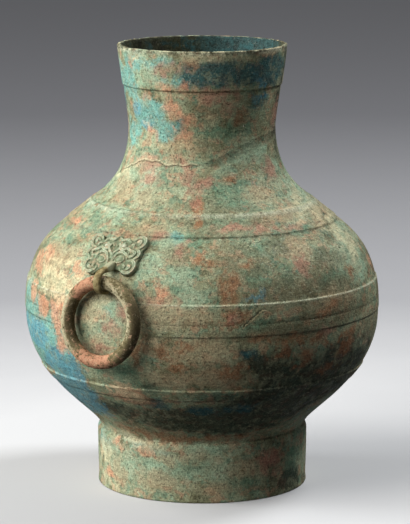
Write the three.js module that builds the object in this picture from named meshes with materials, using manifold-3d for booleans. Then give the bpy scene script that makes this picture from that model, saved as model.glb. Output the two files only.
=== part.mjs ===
// Bronze hu vase with two monster-mask handles and loose rings.
// Millimetres, +Z up, the origin on the table under the middle of the foot.
// The vase is a turned form: one profile, worked out below, gives its outside, its inside,
// the seat of the masks and the place where the rings lean on the belly.

import * as THREE from 'three';
import { mergeVertices } from 'three/addons/utils/BufferGeometryUtils.js';
import Module from 'manifold-3d';

const wasm = await Module();
wasm.setup();

// Body, from the foot up. The mouth takes what the four rises leave of the whole height.
const vaseHeight = 330.0;
const footHeight = 45.0;
const bellyRise = 86.6;
const shoulderRise = 85.4;
const neckRise = 53.1;
const waistRadius = 77.2;
const bellyRadius = 132.6;
const shoulderRadius = 80.0;
const neckRadius = 55.0;
const mouthRadius = 62.4;
const waistAngle = 17.2;
const shoulderAngle = 47.8;
const mouthAngle = -5.7;
const wall = 2.5;
const floorSag = 9.0;
const floorShares = [0, 0.6, 1];

// Foot ring
const footRadius = 78.6;
const footSwell = 0.6;
const footRound = 6.5;
const footWall = 3.4;
const footChamfer = 0.8;
const swellOut = 0.8;
const swellUp = 0.55;

// Raised bands. Each is placed from the nearest change of form.
const bandProud = 0.9;
const bandEdge = 0.8;
const collarDepth = 29.4;
const shoulderBandWidth = 14.2;
const shoulderBandDrop = 2.1;
const bellyBandWidth = 22.9;
const bellyBandRise = 3.1;
const lowerBandWidth = 8.9;
const lowerBandDrop = 37.9;

// Mask handles
const maskHeight = 33.4;
const maskDrop = 2.2;
const maskAngle = 3.0;
const maskPlate = 1.7;
const reliefHeight = 1.5;
const reliefSink = 0.7;
const eyeHeight = 1.7;
const strandTip = 0.55;
const strandTaper = 2.2;
const seatGap = 0.3;

// Loops and rings
const strapWidth = 5.6;
const strapThickness = 2.8;
const strapBevel = 0.7;
const rootShare = 0.8;
const rootSink = 0.4;
const loopPlay = 1.1;
const loopDrop = 11.0;
const loopShift = 3.2;
const behindRing = 2.7;
const ringBar = 5.2;
const ringRadius = 28.5;
const ringGap = 0.5;

// Fineness of the facets
const turns = 36;
const ringSteps = 28;
const barSides = 8;
const strandStep = 3.3;
const outerSteps = [6, 7, 5, 3];
const innerSteps = [6, 6, 4, 2];
const curveSamples = 60;
const bossSides = 9;
const bossRings = 5;
const firstCorner = 1.0;

const waistHeight = footHeight;
const bellyHeight = waistHeight + bellyRise;
const shoulderHeight = bellyHeight + shoulderRise;
const neckHeight = shoulderHeight + neckRise;
const mouthRise = vaseHeight - neckHeight;

const bronzeGreen = new THREE.Color(0.46, 0.5, 0.4);
const bronzeTan = new THREE.Color(0.52, 0.5, 0.38);
const bronzeBrown = new THREE.Color(0.45, 0.33, 0.24);

// Solids for joining and cutting

function solid(geometry) {
  const bare = geometry.clone();
  bare.deleteAttribute('normal');
  bare.deleteAttribute('uv');
  const merged = mergeVertices(bare, 1e-4);
  const index = merged.index.array;
  const corners = [];
  for (let i = 0; i < index.length; i += 3) {
    const [a, b, c] = [index[i], index[i + 1], index[i + 2]];
    if (a !== b && b !== c && c !== a) corners.push(a, b, c);
  }
  return new wasm.Manifold(new wasm.Mesh({
    numProp: 3,
    vertProperties: new Float32Array(merged.attributes.position.array),
    triVerts: new Uint32Array(corners),
  }));
}

function geometryOf(body) {
  const mesh = body.getMesh();
  const geometry = new THREE.BufferGeometry();
  geometry.setAttribute('position', new THREE.BufferAttribute(mesh.vertProperties, 3));
  geometry.setIndex(new THREE.BufferAttribute(mesh.triVerts, 1));
  geometry.computeVertexNormals();
  return geometry;
}

function turned(profile) {
  const lathe = new THREE.LatheGeometry(profile, turns);
  lathe.rotateX(Math.PI / 2);
  return lathe;
}

// Profile of the body: four curves that meet smoothly, as (radius, height)

function leanStep(degrees, length) {
  const angle = THREE.MathUtils.degToRad(degrees);
  return new THREE.Vector2(Math.sin(angle) * length, Math.cos(angle) * length);
}

const waist = new THREE.Vector2(waistRadius, waistHeight);
const belly = new THREE.Vector2(bellyRadius, bellyHeight);
const shoulder = new THREE.Vector2(shoulderRadius, shoulderHeight);
const neck = new THREE.Vector2(neckRadius, neckHeight);
const mouth = new THREE.Vector2(mouthRadius, vaseHeight);

// How far each curve runs on in its first and last direction, as shares of its own rise
const fullness = {
  belly: [0.18, 0.57],
  shoulder: [0.655, 0.42],
  neck: [0.094, 0.70],
  mouth: [0.085, 0.066],
};

const up = (length) => new THREE.Vector2(0, length);
const bodyCurves = [
  new THREE.CubicBezierCurve(
    waist,
    waist.clone().add(leanStep(waistAngle, fullness.belly[0] * bellyRise)),
    belly.clone().sub(up(fullness.belly[1] * bellyRise)),
    belly,
  ),
  new THREE.CubicBezierCurve(
    belly,
    belly.clone().add(up(fullness.shoulder[0] * shoulderRise)),
    shoulder.clone().sub(leanStep(-shoulderAngle, fullness.shoulder[1] * shoulderRise)),
    shoulder,
  ),
  new THREE.CubicBezierCurve(
    shoulder,
    shoulder.clone().add(leanStep(-shoulderAngle, fullness.neck[0] * neckRise)),
    neck.clone().sub(up(fullness.neck[1] * neckRise)),
    neck,
  ),
  new THREE.CubicBezierCurve(
    neck,
    neck.clone().add(up(fullness.mouth[0] * mouthRise)),
    mouth.clone().sub(leanStep(mouthAngle, fullness.mouth[1] * mouthRise)),
    mouth,
  ),
];

// A fine polyline of the whole body, with its length measured from the waist
const meridian = [];
for (const curve of bodyCurves) {
  for (const point of curve.getPoints(curveSamples)) {
    const last = meridian[meridian.length - 1];
    const step = last ? Math.hypot(point.x - last.r, point.y - last.z) : 0;
    if (last && step === 0) continue;
    meridian.push({ r: point.x, z: point.y, length: last ? last.length + step : 0 });
  }
}

// The bare surface at a value of 'z' or 'length': its radius, height and outward normal
function surface(key, value) {
  let i = meridian.findIndex((point) => point[key] >= value);
  if (i < 0) i = meridian.length - 1;
  i = Math.max(i, 1);
  const [a, b] = [meridian[i - 1], meridian[i]];
  const share = (value - a[key]) / (b[key] - a[key]);
  const run = b.length - a.length;
  return {
    r: a.r + share * (b.r - a.r),
    z: a.z + share * (b.z - a.z),
    length: a.length + share * run,
    nr: (b.z - a.z) / run,
    nz: (a.r - b.r) / run,
  };
}

function offset(point, lift) {
  return new THREE.Vector2(point.r + point.nr * lift, point.z + point.nz * lift);
}

// Raised bands, as [lower edge, upper edge]
const shoulderBandTop = shoulderHeight - shoulderBandDrop;
const bands = {
  lower: [bellyHeight - lowerBandDrop - lowerBandWidth, bellyHeight - lowerBandDrop],
  belly: [bellyHeight + bellyBandRise, bellyHeight + bellyBandRise + bellyBandWidth],
  shoulder: [shoulderBandTop - shoulderBandWidth, shoulderBandTop],
  collar: [vaseHeight - collarDepth, vaseHeight],
};

function inBand(z) {
  return Object.values(bands).some(([low, high]) => z > low && z < high);
}

// Heights where the profile gets a corner: along each curve, and at both edges of each band
function curveHeights(counts) {
  const heights = [];
  bodyCurves.forEach((curve, i) => {
    for (const point of curve.getSpacedPoints(counts[i])) heights.push(point.y);
  });
  return heights.filter((z, i) => i === 0 || z > heights[i - 1] + 0.01);
}

// Outside of the body with its bands, grown by 'extra', from the waist to the mouth
function outerProfile(extra) {
  const edges = Object.values(bands).flatMap(([low, high]) => [
    { z: low - bandEdge / 2, lift: 0 },
    { z: low + bandEdge / 2, lift: bandProud },
    { z: high - bandEdge / 2, lift: bandProud },
    { z: high + bandEdge / 2, lift: 0 },
  ]).filter((edge) => edge.z < vaseHeight);
  const nearEdge = (z) => edges.some((edge) => Math.abs(edge.z - z) < 2 * bandEdge);
  const plain = curveHeights(outerSteps)
    .filter((z) => z > waistHeight + firstCorner && z < vaseHeight && !nearEdge(z))
    .map((z) => ({ z, lift: inBand(z) ? bandProud : 0 }));
  return [...edges, ...plain]
    .sort((a, b) => a.z - b.z)
    .map((corner) => offset(surface('z', corner.z), corner.lift + extra));
}

// Inside of the wall, from the edge of the floor up to just under the mouth
function innerProfile() {
  return curveHeights(innerSteps)
    .filter((z) => z < vaseHeight)
    .map((z) => offset(surface('z', z), -wall));
}

// Foot: a straight ring with a slight swell and a rounded top where the body rises out of it
function footProfile() {
  const roundCentre = footRadius + footSwell - footRound;
  const reach = Math.min(waistRadius - roundCentre, footRound);
  const roundRise = Math.sqrt(footRound ** 2 - reach ** 2);
  const roundHeight = waistHeight - roundRise;
  const endAngle = Math.acos(reach / footRound);
  const points = [
    new THREE.Vector2(footRadius - footWall, 0),
    new THREE.Vector2(footRadius - footChamfer, 0),
    new THREE.Vector2(footRadius, footChamfer),
    new THREE.Vector2(footRadius + footSwell * swellOut, roundHeight * swellUp),
  ];
  const roundSteps = 3;
  for (let i = 0; i <= roundSteps; i += 1) {
    const angle = (endAngle * i) / roundSteps;
    points.push(new THREE.Vector2(
      roundCentre + footRound * Math.cos(angle),
      roundHeight + footRound * Math.sin(angle),
    ));
  }
  return points;
}

// Underside of the floor, from the middle out to the foot's inner face, and the floor above it
function floorProfile(lift) {
  const edgeRadius = footRadius - footWall;
  const edgeHeight = waistHeight - wall;
  return floorShares.map((share) => new THREE.Vector2(
    edgeRadius * share,
    edgeHeight - floorSag * (1 - share ** 2) + lift,
  ));
}

function vesselGeometry() {
  const underside = floorProfile(0);
  const floor = floorProfile(wall).slice(0, -1).reverse();
  const rimTop = offset(surface('z', vaseHeight), bandProud).x;
  const rim = [
    new THREE.Vector2(rimTop - bandEdge / 2, vaseHeight),
    new THREE.Vector2(mouthRadius - wall, vaseHeight),
  ];
  const profile = [
    ...underside,
    ...footProfile(),
    ...outerProfile(0),
    new THREE.Vector2(rimTop, vaseHeight - bandEdge / 2),
    ...rim,
    ...innerProfile().reverse(),
    ...floor,
  ];
  return geometryOf(solid(turned(profile)));
}

// The body's outside as one full solid, grown by 'extra', for seating the masks
function bodySolid(extra) {
  const skin = outerProfile(extra);
  const profile = [
    new THREE.Vector2(0, skin[0].y),
    ...skin,
    new THREE.Vector2(0, skin[skin.length - 1].y),
  ];
  return solid(turned(profile));
}

// Masks. They are drawn on a grid of maskGrid rows, 'u' sideways and 'v' up the slope from the
// nose, and each drawn point is laid on the curved shoulder with a lift off the bare surface.

const maskGrid = 34;
const crestRow = 26;
const unit = maskHeight / maskGrid;
const noseLength = surface('z', bands.shoulder[0] - bandEdge / 2).length - maskDrop - crestRow * unit;

function onShoulder(u, v, lift) {
  const turn = THREE.MathUtils.degToRad(maskAngle);
  const side = (u * Math.cos(turn) - v * Math.sin(turn)) * unit;
  const rise = (u * Math.sin(turn) + v * Math.cos(turn)) * unit;
  const point = surface('length', noseLength + rise);
  const r = point.r + point.nr * lift;
  const angle = side / point.r;
  return new THREE.Vector3(r * Math.cos(angle), r * Math.sin(angle), point.z + point.nz * lift);
}

function laidOnShoulder(geometry) {
  const position = geometry.attributes.position;
  for (let i = 0; i < position.count; i += 1) {
    const laid = onShoulder(position.getX(i), position.getY(i), position.getZ(i));
    position.setXYZ(i, laid.x, laid.y, laid.z);
  }
  return geometry;
}

const plateTop = seatGap + maskPlate;
const plateReach = 4 * wall;

// Edge of the plate: the chin, then the right half up to the crest
const chin = new THREE.Vector2(0, -3.4);
const plateEdge = [
  [4.5, -3.2], [9.5, -4.0], [13.0, -6.6], [17.4, -7.6], [21.4, -5.4], [22.9, -0.8], [22.2, 3.4],
  [23.2, 8.0], [22.8, 11.8], [24.2, 17.2], [23.2, 23.0], [18.8, 26.0], [14.4, 24.6], [12.4, 21.4],
  [8.4, 23.2], [4.2, 23.0],
];

function plateSolid() {
  const right = plateEdge.map(([u, v]) => new THREE.Vector2(u, v));
  const left = plateEdge.map(([u, v]) => new THREE.Vector2(-u, v)).reverse();
  const outline = new THREE.Shape();
  outline.moveTo(chin.x, chin.y);
  outline.splineThru([...right, new THREE.Vector2(0, crestRow), ...left, chin]);
  const walls = { depth: 2 * plateReach, bevelEnabled: false, curveSegments: 1 };
  const prism = new THREE.ExtrudeGeometry(outline, walls);
  prism.translate(0, 0, -plateReach);
  return solid(laidOnShoulder(prism)).intersect(bodySolid(plateTop));
}

// A raised strand along a drawn line, tapering at both ends; 'hand' is -1 for the left half
function strand(line, width, hand) {
  const curve = new THREE.CatmullRomCurve3(line.map(([u, v]) => new THREE.Vector3(hand * u, v, 0)));
  const steps = Math.max(3, Math.round((curve.getLength() * unit) / strandStep));
  const corners = [];
  for (let i = 0; i <= steps; i += 1) {
    const share = i / steps;
    const point = curve.getPointAt(share);
    const along = curve.getTangentAt(share);
    const full = Math.min(1, strandTip + strandTaper * Math.min(share, 1 - share));
    for (const [side, lift] of [[-1, -reliefSink], [0, reliefHeight * full], [1, -reliefSink]]) {
      const reach = (side * width * full) / 2;
      corners.push(onShoulder(point.x + along.y * reach, point.y - along.x * reach, plateTop + lift));
    }
  }
  const faces = [];
  const ring = 3;
  for (let i = 0; i < steps; i += 1) {
    for (let k = 0; k < ring; k += 1) {
      const a = i * ring + k;
      const b = i * ring + ((k + 1) % ring);
      faces.push(a, b, a + ring, b, b + ring, a + ring);
    }
  }
  const last = steps * ring;
  faces.push(0, 2, 1, last, last + 1, last + 2);
  const geometry = new THREE.BufferGeometry().setFromPoints(corners);
  geometry.setIndex(faces);
  return solid(geometry);
}

// A rounded boss, such as the eye, on the drawing
function boss(u, v, halfWidth, halfHeight, tilt, height, hand) {
  const ball = new THREE.SphereGeometry(1, bossSides, bossRings);
  ball.rotateX(Math.PI / 2);
  ball.scale(halfWidth, halfHeight, height);
  ball.rotateZ(THREE.MathUtils.degToRad(hand * tilt));
  ball.translate(hand * u, v, plateTop);
  return solid(laidOnShoulder(ball));
}

// Points on a spiral about (u, v), from radius and angle to radius and angle
function spiral(u, v, fromRadius, toRadius, fromAngle, toAngle, count) {
  return Array.from({ length: count }, (_, i) => {
    const share = i / (count - 1);
    const radius = fromRadius + (toRadius - fromRadius) * share;
    const angle = THREE.MathUtils.degToRad(fromAngle + (toAngle - fromAngle) * share);
    return [u + radius * Math.cos(angle), v + radius * Math.sin(angle)];
  });
}

function reliefHalf(hand) {
  const brow = [[1.7, -0.6], [2.3, 4.6], [4.6, 9.2], [8.6, 10.4], [12.2, 8.0], [13.4, 4.6]];
  const scroll = [
    ...spiral(7.3, 16.0, 1.3, 4.2, 60, 330, 7),
    [13.6, 12.2],
    ...spiral(15.2, 9.4, 2.9, 2.2, 20, -200, 5),
  ];
  const horn = [[13.6, 21.4], [16.6, 24.4], [20.8, 23.6], [22.4, 19.2], [20.6, 15.0], [16.6, 13.8]];
  const hornHook = [[16.2, 20.6], [18.6, 20.4], [18.6, 17.6]];
  const cheekLine = [[18.4, 13.6], [21.2, 10.6], [21.4, 7.0], [18.4, 5.0]];
  const cheek = [
    [14.4, 3.6], [18.6, 3.6], [21.0, 0.4], [20.2, -3.8], [16.4, -6.0], [11.8, -4.4], [9.6, -2.0],
  ];
  const cheekHook = [[16.0, 0.2], [17.4, -1.6], [15.0, -3.0]];
  const crest = [[0.9, 24.0], [3.6, 21.2], [8.0, 21.8], [11.4, 19.4]];
  return [
    strand(brow, 2.0, hand),
    strand(scroll, 2.0, hand),
    strand(horn, 2.2, hand),
    strand(hornHook, 2.6, hand),
    strand(cheekLine, 2.0, hand),
    strand(cheek, 2.2, hand),
    strand(cheekHook, 2.4, hand),
    strand(crest, 1.8, hand),
    boss(7.8, 4.4, 3.7, 2.7, 18, eyeHeight, hand),
  ];
}

function reliefSolid() {
  return wasm.Manifold.union([...reliefHalf(1), ...reliefHalf(-1)]);
}

// Loop: the beast's nose runs out into a strap that turns round the ring's bar and back
// to the belly. It is cut out in the (radius, height) plane and seated on the body.

const nose = surface('length', noseLength);
const loopSeat = surface('length', noseLength - loopDrop);
const pivot = { r: loopSeat.r + ringBar + behindRing, z: loopSeat.z };
const loopBore = ringBar + loopPlay;
const barDrop = ringRadius - Math.sqrt(ringRadius ** 2 - (strapWidth / 2) ** 2);
const loopCentre = { r: pivot.r, z: pivot.z + loopPlay - barDrop - ringGap };

function acrossBody(shape, width, bevel) {
  const geometry = new THREE.ExtrudeGeometry(shape, {
    depth: width - 2 * bevel,
    bevelEnabled: bevel > 0,
    bevelThickness: bevel,
    bevelSize: bevel,
    bevelOffset: -bevel,
    bevelSegments: 1,
    curveSegments: 6,
  });
  geometry.translate(0, 0, bevel - width / 2);
  geometry.rotateX(Math.PI / 2);
  geometry.translate(0, loopShift, 0);
  return solid(geometry);
}

function loopSolid() {
  const outerRadius = loopBore + strapThickness;
  const rootRadius = strapThickness * rootShare;
  const root = offset(nose, plateTop + rootRadius * rootSink);
  const [dr, dz] = [root.x - loopCentre.r, root.y - loopCentre.z];
  const span = Math.hypot(dr, dz);
  const tangent = Math.atan2(dz, dr) - Math.acos((outerRadius - rootRadius) / span);
  const inside = loopCentre.r - 2 * outerRadius;
  const outline = new THREE.Shape();
  outline.moveTo(inside, loopCentre.z - outerRadius);
  outline.lineTo(loopCentre.r, loopCentre.z - outerRadius);
  outline.absarc(loopCentre.r, loopCentre.z, outerRadius, -Math.PI / 2, tangent, false);
  outline.absarc(root.x, root.y, rootRadius, tangent, Math.PI / 2, false);
  outline.lineTo(inside, root.y + rootRadius);
  const bore = new THREE.Shape();
  bore.moveTo(inside - 1, loopCentre.z - loopBore);
  bore.lineTo(loopCentre.r, loopCentre.z - loopBore);
  bore.absarc(loopCentre.r, loopCentre.z, loopBore, -Math.PI / 2, Math.PI / 2, false);
  bore.lineTo(inside - 1, loopCentre.z + loopBore);
  return acrossBody(outline, strapWidth, strapBevel).subtract(acrossBody(bore, 2 * strapWidth, 0));
}

function maskGeometry() {
  const seat = bodySolid(seatGap);
  const face = plateSolid().add(reliefSolid());
  return geometryOf(face.add(loopSolid()).subtract(seat));
}

// Rings: a plain bar bent round. Each hangs in its loop and leans back on the belly.

function ringGeometry() {
  const ring = new THREE.TorusGeometry(ringRadius, ringBar, barSides, ringSteps);
  ring.rotateY(Math.PI / 2);
  ring.translate(0, 0, -ringRadius);
  return geometryOf(solid(ring));
}

// Least space between the body and a ring whose foot is pushed out by 'lean'
function spaceBehindRing(lean) {
  let least = Infinity;
  for (let i = 0; i < 180; i += 1) {
    const angle = (i * Math.PI) / 90;
    const side = ringRadius * Math.sin(angle) + loopShift;
    const drop = ringRadius * (1 - Math.cos(angle));
    const r = Math.hypot(pivot.r + drop * Math.sin(lean), side);
    const body = surface('z', pivot.z - drop * Math.cos(lean));
    const proud = inBand(body.z) ? bandProud : 0;
    least = Math.min(least, (r - body.r) * body.nr - proud - ringBar);
  }
  return least;
}

function restingLean() {
  let [low, high] = [0, Math.PI / 3];
  if (spaceBehindRing(low) >= ringGap) return low;
  for (let i = 0; i < 40; i += 1) {
    const middle = (low + high) / 2;
    if (spaceBehindRing(middle) < ringGap) low = middle;
    else high = middle;
  }
  return high;
}

// Assembly

function finish(colour, roughness) {
  return new THREE.MeshStandardMaterial({ color: colour, roughness, metalness: 0.3 });
}

function piece(name, geometry, material) {
  const mesh = new THREE.Mesh(geometry, material);
  mesh.name = name;
  return mesh;
}

const vase = new THREE.Group();
vase.add(piece('vessel', vesselGeometry(), finish(bronzeGreen, 0.8)));

const lean = restingLean();
for (const [side, turn] of [['left', Math.PI], ['right', 0]]) {
  const handle = new THREE.Group();
  handle.rotation.z = turn;
  handle.add(piece(`mask_${side}`, maskGeometry(), finish(bronzeTan, 0.8)));
  const ring = piece(`ring_${side}`, ringGeometry(), finish(bronzeBrown, 0.7));
  ring.position.set(pivot.r, loopShift, pivot.z);
  ring.rotation.y = -lean;
  handle.add(ring);
  vase.add(handle);
}

export default vase;
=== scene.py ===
# %% [markdown]
# # A bronze hu vase with two mask handles
#
# This lesson dresses a finished CAD model of an old bronze wine vase. The CAD model gives the
# sizes and the moving parts. Here each part is built again with the detail that centuries of
# wear and corrosion leave on cast bronze: soft band edges, an uneven lip, fine relief on the
# masks, crust on the rings and a patina of many colours.

# %% Load the model
import math
import bmesh
import bpy
import numpy as np
from mathutils import Matrix, Vector, noise


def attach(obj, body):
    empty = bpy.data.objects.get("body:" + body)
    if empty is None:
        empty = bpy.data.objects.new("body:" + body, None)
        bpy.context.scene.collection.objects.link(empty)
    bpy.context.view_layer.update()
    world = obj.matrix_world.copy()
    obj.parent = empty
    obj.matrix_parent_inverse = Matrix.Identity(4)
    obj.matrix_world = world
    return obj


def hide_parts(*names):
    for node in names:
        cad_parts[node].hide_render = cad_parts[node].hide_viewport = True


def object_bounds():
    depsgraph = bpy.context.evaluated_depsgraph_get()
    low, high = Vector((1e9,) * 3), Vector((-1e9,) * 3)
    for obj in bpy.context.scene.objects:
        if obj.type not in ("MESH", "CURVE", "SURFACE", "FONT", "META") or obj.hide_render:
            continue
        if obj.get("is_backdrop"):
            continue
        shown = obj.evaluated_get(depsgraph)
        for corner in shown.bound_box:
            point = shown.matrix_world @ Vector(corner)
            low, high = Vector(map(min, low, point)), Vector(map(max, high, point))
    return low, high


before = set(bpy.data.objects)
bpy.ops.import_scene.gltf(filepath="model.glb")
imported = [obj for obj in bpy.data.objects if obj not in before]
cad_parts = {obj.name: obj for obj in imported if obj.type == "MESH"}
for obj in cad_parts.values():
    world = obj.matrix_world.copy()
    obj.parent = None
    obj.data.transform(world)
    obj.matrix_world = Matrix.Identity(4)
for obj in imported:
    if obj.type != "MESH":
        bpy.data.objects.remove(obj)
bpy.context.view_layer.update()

# %% [markdown]
# ## Camera
#
# The camera comes first, because the colours are placed by looking through it. It stands two
# metres away with a long lens, so the vase has little perspective. The lens and the distance
# could be tried by eye. Here they come from the outline: the ellipses of the lip and the foot
# fix the camera's height, and the width of the belly against its distance fixes the lens.


# %% Camera
def add_object(name, data):
    """A new object in the scene that holds the given data."""
    made = bpy.data.objects.new(name, data)
    bpy.context.scene.collection.objects.link(made)
    return made


def point_at(thing, direction):
    """Turns a camera or a light so that it looks along a direction, with its top upwards."""
    thing.rotation_mode = "QUATERNION"
    thing.rotation_quaternion = direction.to_track_quat("-Z", "Y")


picture = (410, 524)
lens_mm = 195.3
sensor_mm = 36.0
camera_azimuth = math.radians(-56.8)
camera_reach = 2.0975
camera_height = 0.5376
camera_pitch = math.radians(10.05)
aim_right = 0.0021

away = Vector((math.sin(camera_azimuth), -math.cos(camera_azimuth), 0.0))
to_right = Vector((math.cos(camera_azimuth), math.sin(camera_azimuth), 0.0))
camera_place = away * camera_reach + Vector((0, 0, camera_height))
aim = to_right * aim_right + Vector((0, 0, camera_height - camera_reach * math.tan(camera_pitch)))
look = (aim - camera_place).normalized()

camera = add_object("camera", bpy.data.cameras.new("camera"))
camera.data.lens = lens_mm
camera.data.sensor_width = sensor_mm
camera.data.dof.use_dof = False
camera.data.clip_start, camera.data.clip_end = 0.05, 50.0
camera.location = camera_place
point_at(camera, look)
bpy.context.scene.camera = camera
print("camera at", tuple(round(x, 3) for x in camera_place), "m")

# %% [markdown]
# ## Outline of the body
#
# The body is a turned form: one curve spun round the upright axis. Four smooth curves meet
# where the form changes, at the waist over the foot, the belly, the shoulder, the neck and the
# mouth. The sizes are the CAD model's, in millimetres, and everything else on the vase is
# placed from this line.

# %% Outline of the body
foot_height = 45.0
belly_height = foot_height + 86.6
shoulder_height = belly_height + 85.4
neck_height = shoulder_height + 53.1
vase_height = 330.0
waist_radius, belly_radius, shoulder_radius = 77.2, 132.6, 80.0
neck_radius, mouth_radius = 55.0, 62.4
waist_angle, shoulder_angle, mouth_angle = 17.2, 47.8, -5.7
curve_points = 160


def step_along(degrees, length):
    angle = math.radians(degrees)
    return np.array([math.sin(angle) * length, math.cos(angle) * length])


def curve(start, end, start_angle, end_angle, fullness):
    """A smooth curve in (radius, height) that leaves and arrives at the given angles."""
    rise = end[1] - start[1]
    first = start + step_along(start_angle, fullness[0] * rise)
    last = end - step_along(end_angle, fullness[1] * rise)
    t = np.linspace(0, 1, curve_points)[:, None]
    return start * (1 - t) ** 3 + 3 * first * t * (1 - t) ** 2 + 3 * last * t**2 * (1 - t) + end * t**3


waist = np.array([waist_radius, foot_height])
belly = np.array([belly_radius, belly_height])
shoulder = np.array([shoulder_radius, shoulder_height])
neck = np.array([neck_radius, neck_height])
mouth = np.array([mouth_radius, vase_height])
body_line = np.vstack([
    curve(waist, belly, waist_angle, 0, (0.18, 0.57)),
    curve(belly, shoulder, 0, -shoulder_angle, (0.655, 0.42))[1:],
    curve(shoulder, neck, -shoulder_angle, 0, (0.094, 0.70))[1:],
    curve(neck, mouth, 0, mouth_angle, (0.085, 0.066))[1:],
])


def lengths_along(line):
    """The length from a line's start to each of its points."""
    return np.concatenate([[0], np.cumsum(np.hypot(*np.diff(line, axis=0).T))])


line_length = lengths_along(body_line)
line_slope = np.gradient(body_line, line_length, axis=0)


def surface(value, by="height"):
    """Radius, height, length along the line and outward normal of the bare body."""
    length = np.interp(value, body_line[:, 1], line_length) if by == "height" else np.asarray(value, float)
    radius = np.interp(length, line_length, body_line[:, 0])
    height = np.interp(length, line_length, body_line[:, 1])
    normal_up = -np.interp(length, line_length, line_slope[:, 0])
    normal_out = np.interp(length, line_length, line_slope[:, 1])
    size = np.hypot(normal_out, normal_up)
    return radius, height, length, normal_out / size, normal_up / size


print("outline is", round(line_length[-1], 1), "mm long from the waist to the lip")

# %% [markdown]
# ## Raised bands
#
# Four flat bands stand a little proud of the body. They were cut into the clay model, and the
# casting kept them. Each is placed from the nearest change of form. Their edges are soft from
# wear, so each band rises over a short slope and not in a sharp step. The wide belly band has
# a shallow line along its middle.

# %% Raised bands
band_proud = 0.9
band_edge = 0.8
lower_top = belly_height - 37.9
belly_foot = belly_height + 3.1
shoulder_top = shoulder_height - 2.1
bands = {
    "lower": (lower_top - 8.9, lower_top),
    "belly": (belly_foot, belly_foot + 22.9),
    "shoulder": (shoulder_top - 14.2, shoulder_top),
    "collar": (vase_height - 29.4, vase_height + 10.0),
}
foot_share = {"lower": 0.5, "belly": 0.5, "shoulder": 0.85, "collar": 0.85}
belly_line_height, belly_line_depth, belly_line_half = 143.5, 0.3, 0.6


def soft_step(x):
    """Rises smoothly from 0 to 1 while x goes from 0 to 1."""
    x = np.clip(x, 0, 1)
    return x * x * (3 - 2 * x)


def hump(x, half):
    """1 where x is 0, and fading on both sides to about a third at 'half'."""
    return np.exp(-((x / half) ** 2))


def band_lift(height):
    """How far a band stands off the body at each height, less towards its lower edge."""
    lift = np.zeros_like(height)
    for name, (low, high) in bands.items():
        rise = soft_step((height - low) / band_edge + 0.5) * soft_step((high - height) / band_edge + 0.5)
        up_band = np.clip((height - low) / (min(high, vase_height) - low), 0, 1)
        slope = foot_share[name] + (1 - foot_share[name]) * up_band
        lift = np.maximum(lift, band_proud * rise * slope)
    return lift - belly_line_depth * hump(height - belly_line_height, belly_line_half)


for name, (low, high) in bands.items():
    print(name, "band from", round(low, 1), "to", round(min(high, vase_height), 1), "mm")

# %% [markdown]
# ## Placing marks on the surface
#
# A corroded surface is a map of patches. To lay that map, a patch is described by where it is
# seen in the picture, with its half width and half height there, and a ray from the camera
# finds the spot on the body. From then on the patch belongs to the surface, by its turn round
# the axis and its length along the outline, so it stays in place from every side.

# %% Finding a spot on the body
foot_radius, foot_swell, foot_round, foot_chamfer = 78.6, 0.6, 6.5, 0.8
focal_px = lens_mm / sensor_mm * picture[1]
axis_px = 202.3
search_near, search_far, search_steps = 0.16, 0.2, 3000
least_sideways, least_upward = 0.3, 0.35
outline_heights = np.concatenate([[0, foot_chamfer, foot_height - foot_round], body_line[:, 1]])
outline_radii = np.concatenate([
    [foot_radius - foot_chamfer, foot_radius, foot_radius + foot_swell], body_line[:, 0]])
look_up = look.cross(Vector((0, 0, 1))).cross(look).normalized()
look_right = look.cross(Vector((0, 0, 1))).normalized()


def spot(x, y):
    """Turn round the axis in radians, height in mm, and how much the surface is seen aslant."""
    right, down = (x - picture[0] / 2) / focal_px, (y - picture[1] / 2) / focal_px
    ray = (look + look_right * right - look_up * down).normalized()
    reach = np.linspace(camera_reach - search_near, camera_reach + search_far, search_steps)[:, None] * 1000
    points = np.array(camera_place) * 1000 + reach * np.array(ray)
    out, up = np.hypot(points[:, 0], points[:, 1]), points[:, 2]
    inside = (out < np.interp(up, outline_heights, outline_radii)) & (up > 0) & (up < vase_height)
    if not inside.any():
        return spot(x + (1 if x < axis_px else -1), y)
    hit = points[inside.argmax()]
    turn = math.atan2(hit[1], hit[0])
    out, up = (float(v) for v in surface(max(hit[2], foot_height + 1))[3:])
    if hit[2] < foot_height:
        out, up = 1.0, 0.0
    towards_axis = math.cos(turn) * ray.x + math.sin(turn) * ray.y
    sideways = abs(towards_axis)
    upward = abs(out * towards_axis + up * ray.z) / max(sideways, least_sideways)
    return turn, float(hit[2]), max(least_sideways, sideways), max(least_upward, upward)


def length_at(height):
    """Length along the outline, less than nought on the foot."""
    height = np.asarray(height, float)
    over_foot = np.interp(height, body_line[:, 1], line_length)
    return np.where(height < foot_height, height - foot_height, over_foot)


turn, height, _, _ = spot(205, 300)
print("the middle of the picture shows", round(math.degrees(turn), 1), "degrees,", round(height, 1), "mm up")

# %% [markdown]
# ## Vessel
#
# The vessel is hollow, so its outline runs up the outside, over the lip, down the inside and
# across the floor, and closes under the foot. It could be a spin modifier on a curve. Here
# rings of points are written directly, because the outside then can have many more points
# than the inside, and each point can be moved for dents, the lip and the cracks.

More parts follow.
